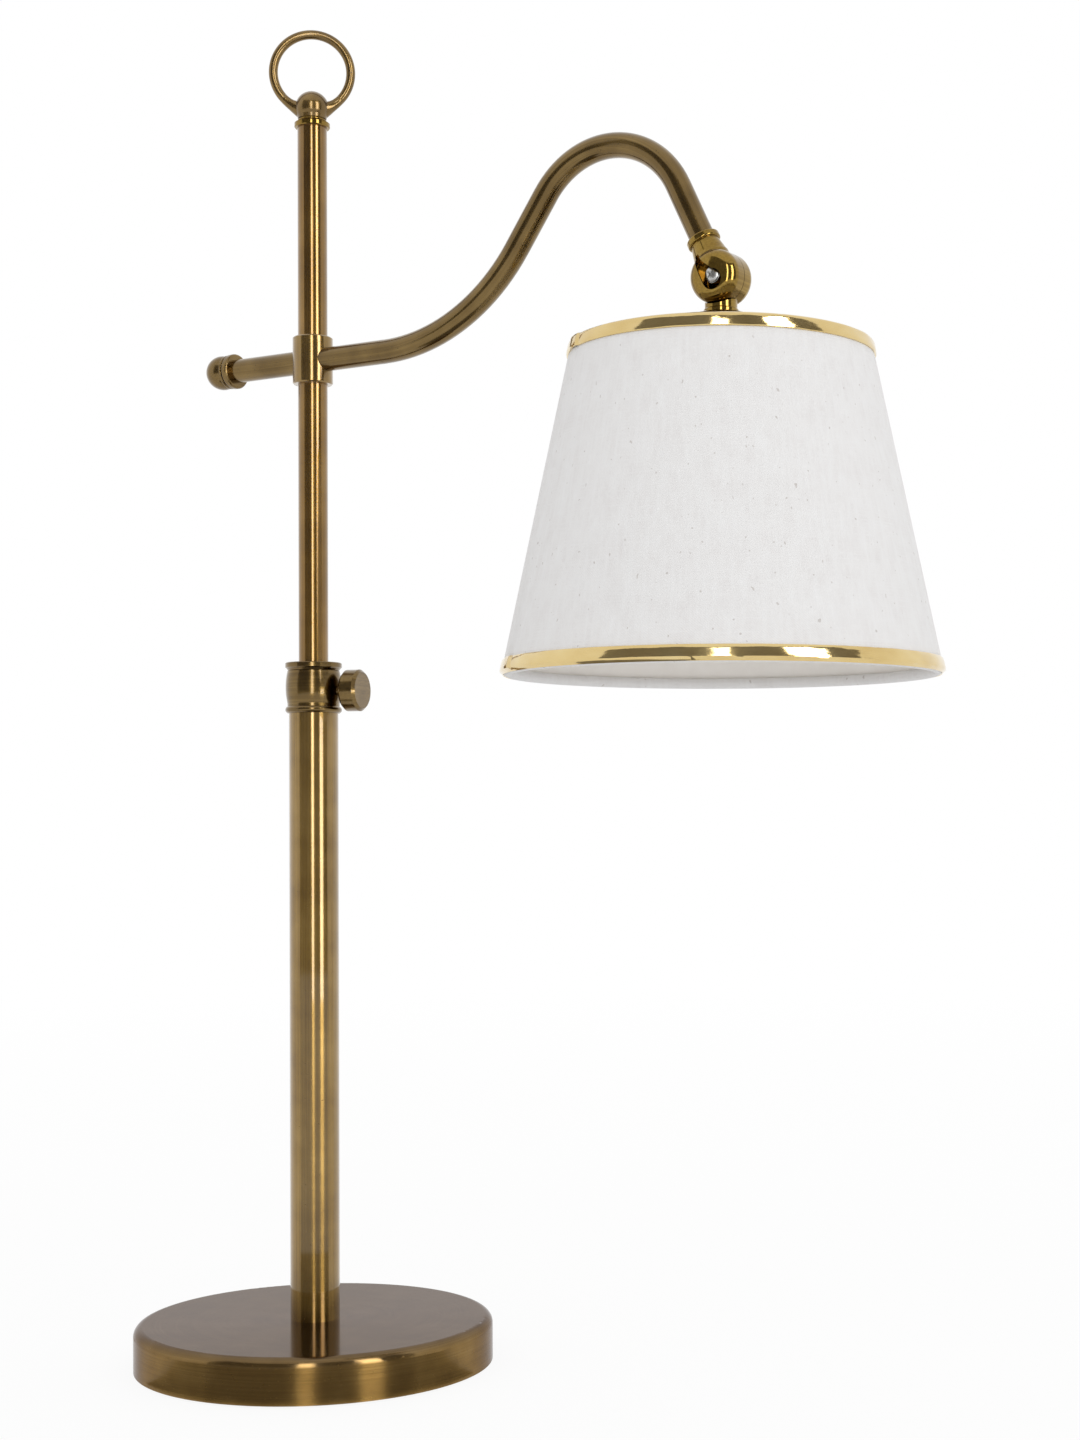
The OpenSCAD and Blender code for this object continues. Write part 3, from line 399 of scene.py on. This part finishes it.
# %% [markdown]
# ## Plain stuffs
# Felt, cast iron, nylon, black plastic and the bulb's opal glass differ only in colour, gloss and
# the size and depth of their grain. Glass that lets light through would be truer, but the bulb is
# hardly seen in its shade, so one function with a short table makes them all.


# %% Make the plain stuffs
def grained(name, tones, roughness, scale, depth, metallic=0.0):
    """A material whose colour, gloss and relief follow one noise."""
    material, paint = new_finish(name)
    point, *_ = paint.place()
    grain = paint.noise(point, scale, 4.0)
    patch = paint.noise(point, scale / 12, 2.0)
    paint.surface({
        "Base Color": paint.ramp(grain * 0.6 + patch * 0.4, (0.35, tones[0]), (0.65, tones[1])),
        "Metallic": metallic,
        "Roughness": paint.between(grain, *roughness),
        "Normal": paint.relief(grain, depth),
    })
    return material


plain_stuffs = {
    "felt_pad": (((0.012, 0.02, 0.016), (0.04, 0.055, 0.045)), (0.85, 1.0), 2500.0, 0.0003),
    "cast_iron_rough": (((0.03, 0.03, 0.031), (0.075, 0.073, 0.07)), (0.5, 0.8),
                        700.0, 0.00025, 0.7),
    "nylon_natural": (((0.66, 0.64, 0.58), (0.74, 0.72, 0.66)), (0.38, 0.55), 400.0, 0.00002),
    "plastic_black": (((0.012, 0.012, 0.013), (0.03, 0.03, 0.03)), (0.35, 0.55), 900.0, 0.00003),
    "glass_opal": (((0.82, 0.81, 0.79), (0.86, 0.85, 0.83)), (0.12, 0.2), 60.0, 0.00001),
}
felt, iron, nylon, black, opal = [grained(name, *stuff) for name, stuff in plain_stuffs.items()]
print("plain stuffs:", felt.name, iron.name, nylon.name, black.name, opal.name)

# %% [markdown]
# ## Dress the solids
# Each solid says which slot of the record it is made of, so it needn't be dressed by hand: a table
# from slot to finish does it. A solid of antique brass also needs to know how it was worked. The
# stem and the mast are drawn, the arm was brushed and then bent, its stub is of the same tube, the
# base is spun, the ring is cast, and the cross collar matches the stem. The rest was turned.

# %% Give each solid its finish
slot_finish = {
    "antique_brass": antique["turned"], "polished_brass": polished, "steel": steel,
    "contact_brass": contact, "cap_metal": aluminium, "felt": felt, "cast_iron": iron,
    "nylon": nylon, "black_plastic": black, "bulb_glass": opal,
}
worked = {"stem_tube": "stem", "mast_tube": "mast", "arm_tube": "bent", "rear_stub": "bent",
          "base_cover": "spun", "ring_finial": "cast", "cross_collar": "stem"}
for name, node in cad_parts.items():
    for held in node.material_slots:
        made_of = slot_finish.get(held.material.name, held.material)
        held.material = antique[worked[name]] if name in worked else made_of
print("dressed:", len(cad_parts), "solids")

# %% [markdown]
# ## The finial's roots
# Ring and ball are one casting, and the ring's wire swells where it runs into the ball. The
# swelling could be sculpted, but its outline is known all the way, so each root is lofted: circles
# along the wire's arc, wide inside the ball and flush with the wire at the far end, are bridged in
# turn.

# %% Loft the roots
import bmesh
from mathutils import Matrix

ring_r, wire_r, ring_turn = 0.0196, 0.0023, math.radians(35)
ring_hub = Vector((0, 0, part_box("ring_finial")[1].z - wire_r - ring_r))
root_sides = 28
# Degrees from the ring's lowest point, and the wire's radius there in millimetres.
root_radii = [(10, 5.2), (15, 4.8), (19, 4.3), (22, 3.85), (25, 3.45), (28, 3.1), (32, 2.75),
              (37, 2.5), (43, 2.35), (50, 2.28)]


def loft_root(form, side):
    """Adds one swollen end of the wire, on the side +1 or -1 of the ball."""
    flat = Vector((math.cos(ring_turn), math.sin(ring_turn), 0)) * side
    last = None
    for degrees, millimetres in root_radii:
        turn, radius = math.radians(degrees), millimetres / 1000
        out = flat * math.sin(turn) - Vector((0, 0, math.cos(turn)))
        along = flat * math.cos(turn) + Vector((0, 0, math.sin(turn)))
        frame_of_circle = Matrix((out, along.cross(out), along)).transposed().to_4x4()
        frame_of_circle.translation = ring_hub + out * ring_r
        ends = degrees in (root_radii[0][0], root_radii[-1][0])
        circle = bmesh.ops.create_circle(form, cap_ends=ends, segments=root_sides, radius=radius,
                                         matrix=frame_of_circle)["verts"]
        edges = list({edge for vert in circle for edge in vert.link_edges})
        if last:
            bmesh.ops.bridge_loops(form, edges=last + edges)
        last = edges
    return form


form = loft_root(loft_root(bmesh.new(), 1), -1)
bmesh.ops.recalc_face_normals(form, faces=form.faces)
root_mesh = bpy.data.meshes.new("finial_roots")
form.to_mesh(root_mesh)
form.free()
root_mesh.materials.append(antique["cast"])
root_mesh.shade_smooth()
finial_roots = add_object("finial_roots", root_mesh)
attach(finial_roots, "mast")
print("roots of", len(root_mesh.polygons), "faces")

# %% [markdown]
# ## The shade's measures
# The shade is a cone round the lampholder's axis, with a hem round a wire at each edge. Its place
# could be typed in, but it is read from the solids, so the new pieces stay where the frame has
# them. Only what the solids' boxes don't tell is given here: the linen's radii and thickness, the
# way for the wire, the tape's width and thickness, and where the cloth's ends meet.

# %% Read the shade's place
foot_low, foot_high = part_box("bottom_trim")
_, head_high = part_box("top_trim")
axis_place = Vector(((foot_low.x + foot_high.x) / 2, 0, 0))
head_r, foot_r, cone_height = 0.0688, 0.1012, 0.152
band_w, band_t = 0.0068, 0.0011
foot_z = foot_low.z
cone_a = math.atan((foot_r - head_r) / cone_height)
head_z = head_high.z - band_t * math.sin(cone_a)
slant = (head_z - foot_z) / math.cos(cone_a)
skin_t, wire_way_r = 0.0008, 0.0018
hem_r = wire_way_r + skin_t
lap_turn = math.radians(-133.5)
print(f"shade: radius {head_r:.4f} to {foot_r:.4f}, slant {slant:.4f}")

# %% [markdown]
# ## Turning a profile
# The skin and both bands are bodies of revolution. A cone with a Solidify modifier would give their
# wall but not their hems, so each starts as a closed profile of a few points that the spin operator
# turns once round. The profile is written along the cone: how far down the slope, and how far out
# of the linen.


# %% Turn a profile about the shade's axis
def on_cone(down, out):
    """The point down the slope from the head and out of the linen, in the plane of the lap."""
    radius = head_r + down * math.sin(cone_a) + out * math.cos(cone_a)
    height = head_z - down * math.cos(cone_a) + out * math.sin(cone_a)
    return Vector((radius * math.cos(lap_turn), radius * math.sin(lap_turn), height))


def turned(profile, steps):
    """A closed ring turned from a profile of (down, out) points."""
    form = bmesh.new()
    corners = [form.verts.new(on_cone(*point)) for point in profile]
    edges = [form.edges.new(pair) for pair in zip(corners, corners[1:] + corners[:1])]
    bmesh.ops.spin(form, geom=corners + edges, cent=(0, 0, 0), axis=(0, 0, 1),
                   angle=math.tau, steps=steps, use_merge=True)
    bmesh.ops.remove_doubles(form, verts=form.verts, dist=1e-6)
    bmesh.ops.recalc_face_normals(form, faces=form.faces)
    return form


print("top corner of the profile:", tuple(round(n, 4) for n in on_cone(0, 0)))

# %% [markdown]
# ## Back from a point to the cone
# Laps, creases and the UV map all ask where a point of a ring lies. That could be stored while the
# ring is turned, but a later cut adds points that have nothing stored. So it is worked out from the
# point itself: its turn from the lap, its way down the slope and its distance out of the linen.


# %% Find a point on the cone
def turn_of(point):
    """How far a point has turned from the lap, from 0 to one whole turn."""
    return (math.atan2(point.y, point.x) - lap_turn) % math.tau


def slope_of(point):
    """A point's way down the slope and out of the linen."""
    radius = math.hypot(point.x, point.y) - head_r
    fall = head_z - point.z
    down = radius * math.sin(cone_a) + fall * math.cos(cone_a)
    return down, radius * math.cos(cone_a) - fall * math.sin(cone_a)


def out_of_linen(point):
    """The direction straight out of the linen at a point."""
    flat = Vector((point.x, point.y, 0)).normalized()
    return flat * math.cos(cone_a) + Vector((0, 0, math.sin(cone_a)))


print("the lower edge lies", round(slope_of(on_cone(slant, 0))[0], 4), "m down the slope")

# %% [markdown]
# ## Lapped ends
# Linen and tape are strips whose end is glued over their start. A strip that overlapped itself
# would put two walls in one place, so the lap is a raised stretch of an otherwise smooth ring. At
# its start the surface jumps up within a hair's breadth, and at its far end it slopes back.

# %% Cut and lift the lap
lap_edge = 0.00012
near_cosine = 0.5


def cut_at(form, turn):
    """Cuts the ring along the slope at this turn from the lap, and leaves its far side whole."""
    side = Vector((-math.sin(lap_turn + turn), math.cos(lap_turn + turn), 0))
    here = Vector((math.cos(lap_turn + turn), math.sin(lap_turn + turn), 0))
    near = [face for face in form.faces
            if face.calc_center_median().normalized().dot(here) > near_cosine]
    verts = {vert for face in near for vert in face.verts}
    edges = {edge for face in near for edge in face.edges}
    bmesh.ops.bisect_plane(form, geom=[*verts, *edges, *near], dist=1e-7,
                           plane_co=(0, 0, 0), plane_no=side)


def lift_lap(form, length, rise, radius):
    """Lifts the outer face over the lap's length, and slopes it back in a fiftieth of that."""
    step, whole = lap_edge / radius, length / radius
    for turn in (step, whole, whole * 1.02):
        cut_at(form, turn)
    for vertex in form.verts:
        turn, (down, out) = turn_of(vertex.co), slope_of(vertex.co)
        if out > 0 and step * 0.9 < turn < whole * 1.01:
            vertex.co += out_of_linen(vertex.co) * rise
    return form


print("a lap steps up within", lap_edge * 1000, "mm")

# %% [markdown]
# ## From ring to object
# Weave and creases follow the strip, so each ring gets a UV map in metres: along the ring from the
# lap, and down the slope. Unwrapping by seams would stretch and turn it. The ring is moved to the
# shade's axis in its mesh, so that its object stays at the origin.


# %% Unwrap and finish a ring
def unwrap(form, radius):
    """Lays UVs in metres: along the ring from the lap, and down the slope."""
    layer = form.loops.layers.uv.new("cloth")
    for face in form.faces:
        middle = turn_of(face.calc_center_median())
        for loop in face.loops:
            turn = turn_of(loop.vert.co)
            turn += math.tau if turn < middle - math.pi else 0
            turn -= math.tau if turn > middle + math.pi else 0
            loop[layer].uv = (turn * radius, slope_of(loop.vert.co)[0])


def finished(form, name, *materials):
    """The bmesh as an object that stands on the shade's axis, smooth where it is round."""
    bmesh.ops.translate(form, verts=form.verts, vec=axis_place)
    mesh = bpy.data.meshes.new(name)
    form.to_mesh(mesh)
    form.free()
    for material in materials:
        mesh.materials.append(material)
    mesh.shade_smooth()
    mesh.set_sharp_from_angle(angle=math.radians(40))
    return add_object(name, mesh)


middle_r = (head_r + foot_r) / 2
print("the skin's map is", round(math.tau * middle_r, 4), "m long")

# %% [markdown]
# ## Patterns on cloth and tape
# What runs along a thread or along a tape needs noise that is stretched one way, on the piece's own
# map. An image would repeat and show its edges. Each pattern is a row of four numbers instead: how
# fine it is along the ring, how fine down the slope, a seed, and how much detail it has.

# %% Stretch a pattern
patterns = {
    "warp": (520.0, 60.0, 0.0, 3.0), "weft": (60.0, 1300.0, 7.0, 2.0),
    "dent": (240.0, 130.0, 9.0, 2.0), "cloud": (130.0, 80.0, 3.0, 5.0),
    "fleck": (430.0, 300.0, 5.0, 1.0),
    "crease": (160.0, 420.0, 1.0, 3.0), "broad": (42.0, 90.0, 4.0, 2.0),
}


def stretched(paint, u, v, name, rough=0.5):
    """The noise of a named pattern on a map in metres."""
    along_ring, down_slope, seed, detail = patterns[name]
    squeezed = paint.vector(u * along_ring, v * down_slope, seed)
    return paint.noise(squeezed, 1.0, detail, rough=rough)


print("patterns:", sorted(patterns))

# %% [markdown]
# ## Linen on a stiff liner
# The skin is linen laminated to a white sheet. Its yarn is uneven: a plain weave of half-millimetre
# threads with slubs that run along both directions, and a few dark flecks of straw. Modelled
# threads would be far too many, so the weave is a shallow relief, and slubs change the tone.

# %% Make the linen
thread = 0.00055
thread_wander, wander_scale = 0.0006, 260.0
linen_dark, linen_middle = (0.745, 0.728, 0.722), (0.787, 0.777, 0.772)
linen_light = (0.812, 0.808, 0.806)
straw, straw_from, straw_strength = (0.36, 0.31, 0.27), 0.735, 0.45


def linen_material():
    """Slubby off-white linen on the cloth's UV map."""
    material, paint = new_finish("linen_slubby")
    point, u, v, _ = paint.place("UV")
    wander = paint.noise(point, wander_scale, 2.0) * thread_wander
    across = paint.maths("COSINE", (u + wander) * (math.pi / thread))
    along = paint.maths("COSINE", (v + wander) * (math.pi / thread))
    weave = across * along * 0.5 + 0.5
    dent = stretched(paint, u, v, "dent")
    slub = paint.maths("MAXIMUM", stretched(paint, u, v, "warp"),
                       stretched(paint, u, v, "weft") * 0.9)
    cloud = stretched(paint, u, v, "cloud", rough=0.65)
    fleck = stretched(paint, u, v, "fleck") > straw_from
    tone = slub * 0.45 + cloud * 0.50 + weave * 0.05
    cloth = paint.ramp(tone, (0.36, linen_dark), (0.50, linen_middle), (0.66, linen_light))
    paint.surface({
        "Base Color": paint.mixed(fleck * straw_strength, cloth, straw),
        "Roughness": paint.between(slub, 0.75, 0.95),
        "Normal": paint.relief(weave * 0.15 + slub * 0.35 + dent * 0.5, 0.00035, 0.7),
        "Sheen Weight": 0.15,
        "Sheen Roughness": 0.5,
    })
    return material


linen = linen_material()
liner = grained("liner_styrene", ((0.90, 0.865, 0.82), (0.94, 0.91, 0.87)), (0.5, 0.62),
                150.0, 0.00002)
print("cloth:", linen.name, "on", liner.name)

# %% [markdown]
# ## The shade's skin
# The skin turns inwards round a wire at each edge. Its hems could be separate rings, but they are
# the same cloth, so its section is one closed outline: down the outer face, round the lower hem and
# back, up the inner face, round the upper hem and back. Its inner face shows the liner.


# %% Make the shade's skin
def hem_arc(edge, way, radius, first, last, count=14):
    """Points round the wire at an edge, from one angle in degrees out of the cloth to another."""
    turns = [math.radians(first + (last - first) * i / count) for i in range(count + 1)]
    return [(edge + way * (hem_r - radius * math.sin(turn)), radius * math.cos(turn) - hem_r)
            for turn in turns]


skin_steps, hem_end = 240, 300
skin_lap, skin_rise = 0.009, 0.0004
outline = (hem_arc(slant, -1, hem_r, 0, hem_end) + hem_arc(slant, -1, wire_way_r, hem_end, 0)
           + hem_arc(0, 1, wire_way_r, 0, hem_end) + hem_arc(0, 1, hem_r, hem_end, 0))
skin = turned(outline, skin_steps)
lift_lap(skin, skin_lap, skin_rise, middle_r)
unwrap(skin, middle_r)
for face in skin.faces:
    middle = face.calc_center_median()
    down, out = slope_of(middle)
    inside = 2 * hem_r < down < slant - 2 * hem_r and face.normal.dot(out_of_linen(middle)) < 0
    face.material_index = 1 if inside else 0
shade_skin = finished(skin, "linen_shade", linen, liner)
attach(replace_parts(shade_skin, "shade_linen"), "head")
print(shade_skin.name, "has", len(shade_skin.data.polygons), "faces")

# %% [markdown]
# ## Gilt tape
# Each edge of the shade is trimmed with gilt tape: metal leaf on paper, nearly a mirror, with
# creases from the hand that laid it. Polished brass would make it look like a hoop of metal, so the
# colour and the gloss wander along the tape, and a soft relief breaks up what it mirrors.

# %% Make the gilt tape
gilt_dark, gilt_middle = (0.61, 0.43, 0.160), (0.71, 0.535, 0.235)
gilt_light = (0.78, 0.625, 0.31)
leaf_scale = 3200.0


def tape_material():
    """Gilt tape with fine creases along the ring's UV map."""
    material, paint = new_finish("gilt_tape")
    point, u, v, _ = paint.place("UV")
    crease = stretched(paint, u, v, "crease")
    broad = stretched(paint, u, v, "broad")
    grain = paint.noise(point, leaf_scale, 1.0)
    tone = broad * 0.6 + grain * 0.4
    paint.surface({
        "Base Color": paint.ramp(tone, (0.3, gilt_dark), (0.5, gilt_middle), (0.7, gilt_light)),
        "Metallic": 1.0,
        "Roughness": paint.between(broad * 0.5 + grain * 0.5, 0.06, 0.14),
        "Normal": paint.relief(crease * 0.4 + broad * 0.6, 0.00030, 0.5),
        "Coat Weight": 0.4,
        "Coat Roughness": 0.05,
    })
    return material


tape = tape_material()
print("tape:", tape.name)

# %% [markdown]
# ## The bound edges
# The tape lies on the linen, runs over the edge and is rubbed down round the hem. It is pulled
# tight by hand, so it has small puckers, and its end is cut square and glued over its start. A
# curve with a flat section could follow the edge, but it wouldn't wrap the hem, so each band is
# turned like the skin, then creased and lapped.

# %% Bind the shade's edges
from mathutils import noise

band_steps, band_lap, band_rise = 360, 0.010, 0.0007
pucker_along, pucker_down, pucker_height = 110.0, 260.0, 0.00018


def band_profile(edge, way):
    """A tape on an edge of the skin; way is +1 where the skin lies further down."""
    outer = [(band_w, 0.0), (band_w, band_t * 0.55), (band_w - 0.0005, band_t * 0.85),
             (band_w * 0.72, band_t), (band_w * 0.55, band_t)]
    return ([(edge + way * down, out) for down, out in outer]
            + hem_arc(edge, way, hem_r + band_t, 0, 24, 3)
            + hem_arc(edge, way, hem_r + band_t * 0.5, 48, 56, 1)
            + hem_arc(edge, way, hem_r + 0.00002, 56, 0, 5))


def pucker(form, radius, seed):
    """Moves the tape's outer face in or out by less than a fifth of a millimetre."""
    for vertex in form.verts:
        turn, (down, out) = turn_of(vertex.co), slope_of(vertex.co)
        if out > band_t * 0.5:
            along = Vector((turn * radius * pucker_along, down * pucker_down, seed))
            vertex.co += out_of_linen(vertex.co) * noise.noise(along) * pucker_height


def band(name, node, edge, way, radius, seed):
    """One lapped band on the head body."""
    form = turned(band_profile(edge, way), band_steps)
    pucker(form, radius, seed)
    lift_lap(form, band_lap, band_rise, radius)
    unwrap(form, radius)
    piece = finished(form, name, tape)
    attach(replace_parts(piece, node), "head")
    print(name, "has", len(piece.data.polygons), "faces")
    return piece


top_band = band("top_band", "top_trim", 0.0, 1, head_r, 3.0)
bottom_band = band("bottom_band", "bottom_trim", slant, -1, foot_r, 11.0)

# %% [markdown]

# %% [markdown]
# ## The room
# The lamp stands in an evenly bright room that is pure white where it is seen. A world of one
# strength would light the linen as white as the wall behind it. So a ray that looks at the room, or
# mirrors it, sees white, and a ray that only carries light brings a little less.

# %% Light the room
room_fill = 0.90


def seen_directly(paint):
    """1 for rays that show the room itself: from the camera, from a mirror, or through glass."""
    seen = [paint.node("ShaderNodeLightPath", {}, {}, way)
            for way in ("Is Camera Ray", "Is Glossy Ray", "Is Transmission Ray")]
    return paint.maths("MINIMUM", seen[0] + seen[1] + seen[2], 1.0)


world = bpy.data.worlds.new("room")
bpy.context.scene.world = world
sky = Finish(world)
fill = sky.node("ShaderNodeBackground", {}, {"Color": (1, 1, 1, 1), "Strength": room_fill})
white = sky.node("ShaderNodeBackground", {}, {"Color": (1, 1, 1, 1), "Strength": 1.0})
room = sky.node("ShaderNodeMixShader", {}, {0: seen_directly(sky), 1: fill, 2: white})
sky.node("ShaderNodeOutputWorld", {}, {"Surface": room})
print("room fill:", room_fill)

# %% [markdown]
# ## The soft lights
# Two tall strips draw the two stripes that run up every tube, and a broad key shapes the linen. One
# light can't do both: strips bright enough for the metal would burn out the cloth. So the strips
# are hidden from matt surfaces, and the key from shiny ones.


# %% Hang the soft lights
def soft_light(name, turn, distance, width, height, centre_z, radiance):
    """A soft light at a turn in degrees about the lamp's stem, facing it."""
    data = bpy.data.lights.new(name, "AREA")
    data.shape, data.size, data.size_y = "RECTANGLE", width, height
    data.energy = radiance * math.pi * width * height
    lamp = add_object(name, data)
    angle = math.radians(turn)
    away = Vector((math.cos(angle), math.sin(angle), 0))
    lamp.location = away * distance + Vector((0, 0, centre_z))
    lamp.rotation_mode = "QUATERNION"
    lamp.rotation_quaternion = (-away).to_track_quat("-Z", "Y")
    lamp.visible_camera = False
    print(f"{name}: {data.energy:.1f} W")
    return lamp


near_strip = soft_light("near_strip", turn=-56, distance=2.4, width=0.42, height=2.6,
                        centre_z=0.85, radiance=6.5)
side_strip = soft_light("side_strip", turn=-15, distance=2.4, width=0.62, height=2.6,
                        centre_z=0.85, radiance=7.5)
broad_key = soft_light("broad_key", turn=-28, distance=2.6, width=2.4, height=2.4,
                       centre_z=1.3, radiance=0.65)
near_strip.visible_diffuse = side_strip.visible_diffuse = False
broad_key.visible_glossy = False

# %% [markdown]
# ## Something dark to mirror
# Metal is only as rich as what it mirrors, and in an all-white room the tubes would be pale and
# flat. A dark screen behind the strips gives the stripes their dark edges, and a dark flag on the
# floor before the base darkens its side. Black cloth in a real studio would also show and throw
# shade. Here only reflections meet both sheets.

# %% Stand the screen and lay the flag
sweep_from, sweep_to = math.radians(-120.0), math.radians(14.0)
screen_material, paint = new_finish("screen_grey")
paint.surface({"Base Color": (0.23, 0.22, 0.21, 1), "Roughness": 1.0})


def swept_sheet(name, first, last, steps):
    """A sheet that a line between two points of (radius, height) sweeps about the stem."""
    form = bmesh.new()
    ends = [form.verts.new((radius * math.cos(sweep_from), radius * math.sin(sweep_from), height))
            for radius, height in (first, last)]
    bmesh.ops.spin(form, geom=[*ends, form.edges.new(ends)], cent=(0, 0, 0), axis=(0, 0, 1),
                   angle=sweep_to - sweep_from, steps=steps)
    mesh = bpy.data.meshes.new(name)
    form.to_mesh(mesh)
    form.free()
    mesh.materials.append(screen_material)
    sheet = add_object(name, mesh)
    sheet.visible_camera = sheet.visible_diffuse = sheet.visible_shadow = False
    print(name, "has", len(mesh.polygons), "faces")
    return sheet


screen = swept_sheet("dark_screen", (3.0, -0.2), (3.0, 3.2), steps=24)
flag = swept_sheet("dark_flag", (0.094, 0.0004), (0.32, 0.0004), steps=36)

# %% [markdown]
# ## The floor
# The floor is plain and nearly white. A shadow catcher would need the picture to be put together
# afterwards. Instead the floor, seen directly, is mostly its own light, so that it meets the white
# room without an edge, and the rest is an ordinary matt surface that keeps the lamp's shadow.

# %% Lay the floor
floor_half, fade_out = 12.0, 2.5
glow_near, glow_far = 0.9, 1.0
form = bmesh.new()
bmesh.ops.create_grid(form, x_segments=1, y_segments=1, size=floor_half)
floor_mesh = bpy.data.meshes.new("floor")
form.to_mesh(floor_mesh)
form.free()
floor = add_object("floor", floor_mesh)
floor_material, paint = new_finish("floor_white")
matt = paint.node("ShaderNodeBsdfDiffuse", {}, {"Color": (0.86, 0.86, 0.86, 1)})
glow = paint.node("ShaderNodeEmission", {}, {"Color": (1, 1, 1, 1), "Strength": 1.0})
_, x, y, _ = paint.place()
away = paint.maths("MINIMUM", (x * x + y * y) ** 0.5 * (1 / fade_out), 1.0)
share = seen_directly(paint) * paint.between(away, glow_near, glow_far)
paint.node("ShaderNodeOutputMaterial", {}, {
    "Surface": paint.node("ShaderNodeMixShader", {}, {0: share, 1: matt, 2: glow})})
floor_mesh.materials.append(floor_material)
print("floor:", 2 * floor_half, "m wide")

# %% [markdown]
# ## Showing colours as written
# Colours are shown as they are written, because a filmic view would grey the white room.

bpy.context.scene.view_settings.view_transform = "Standard"
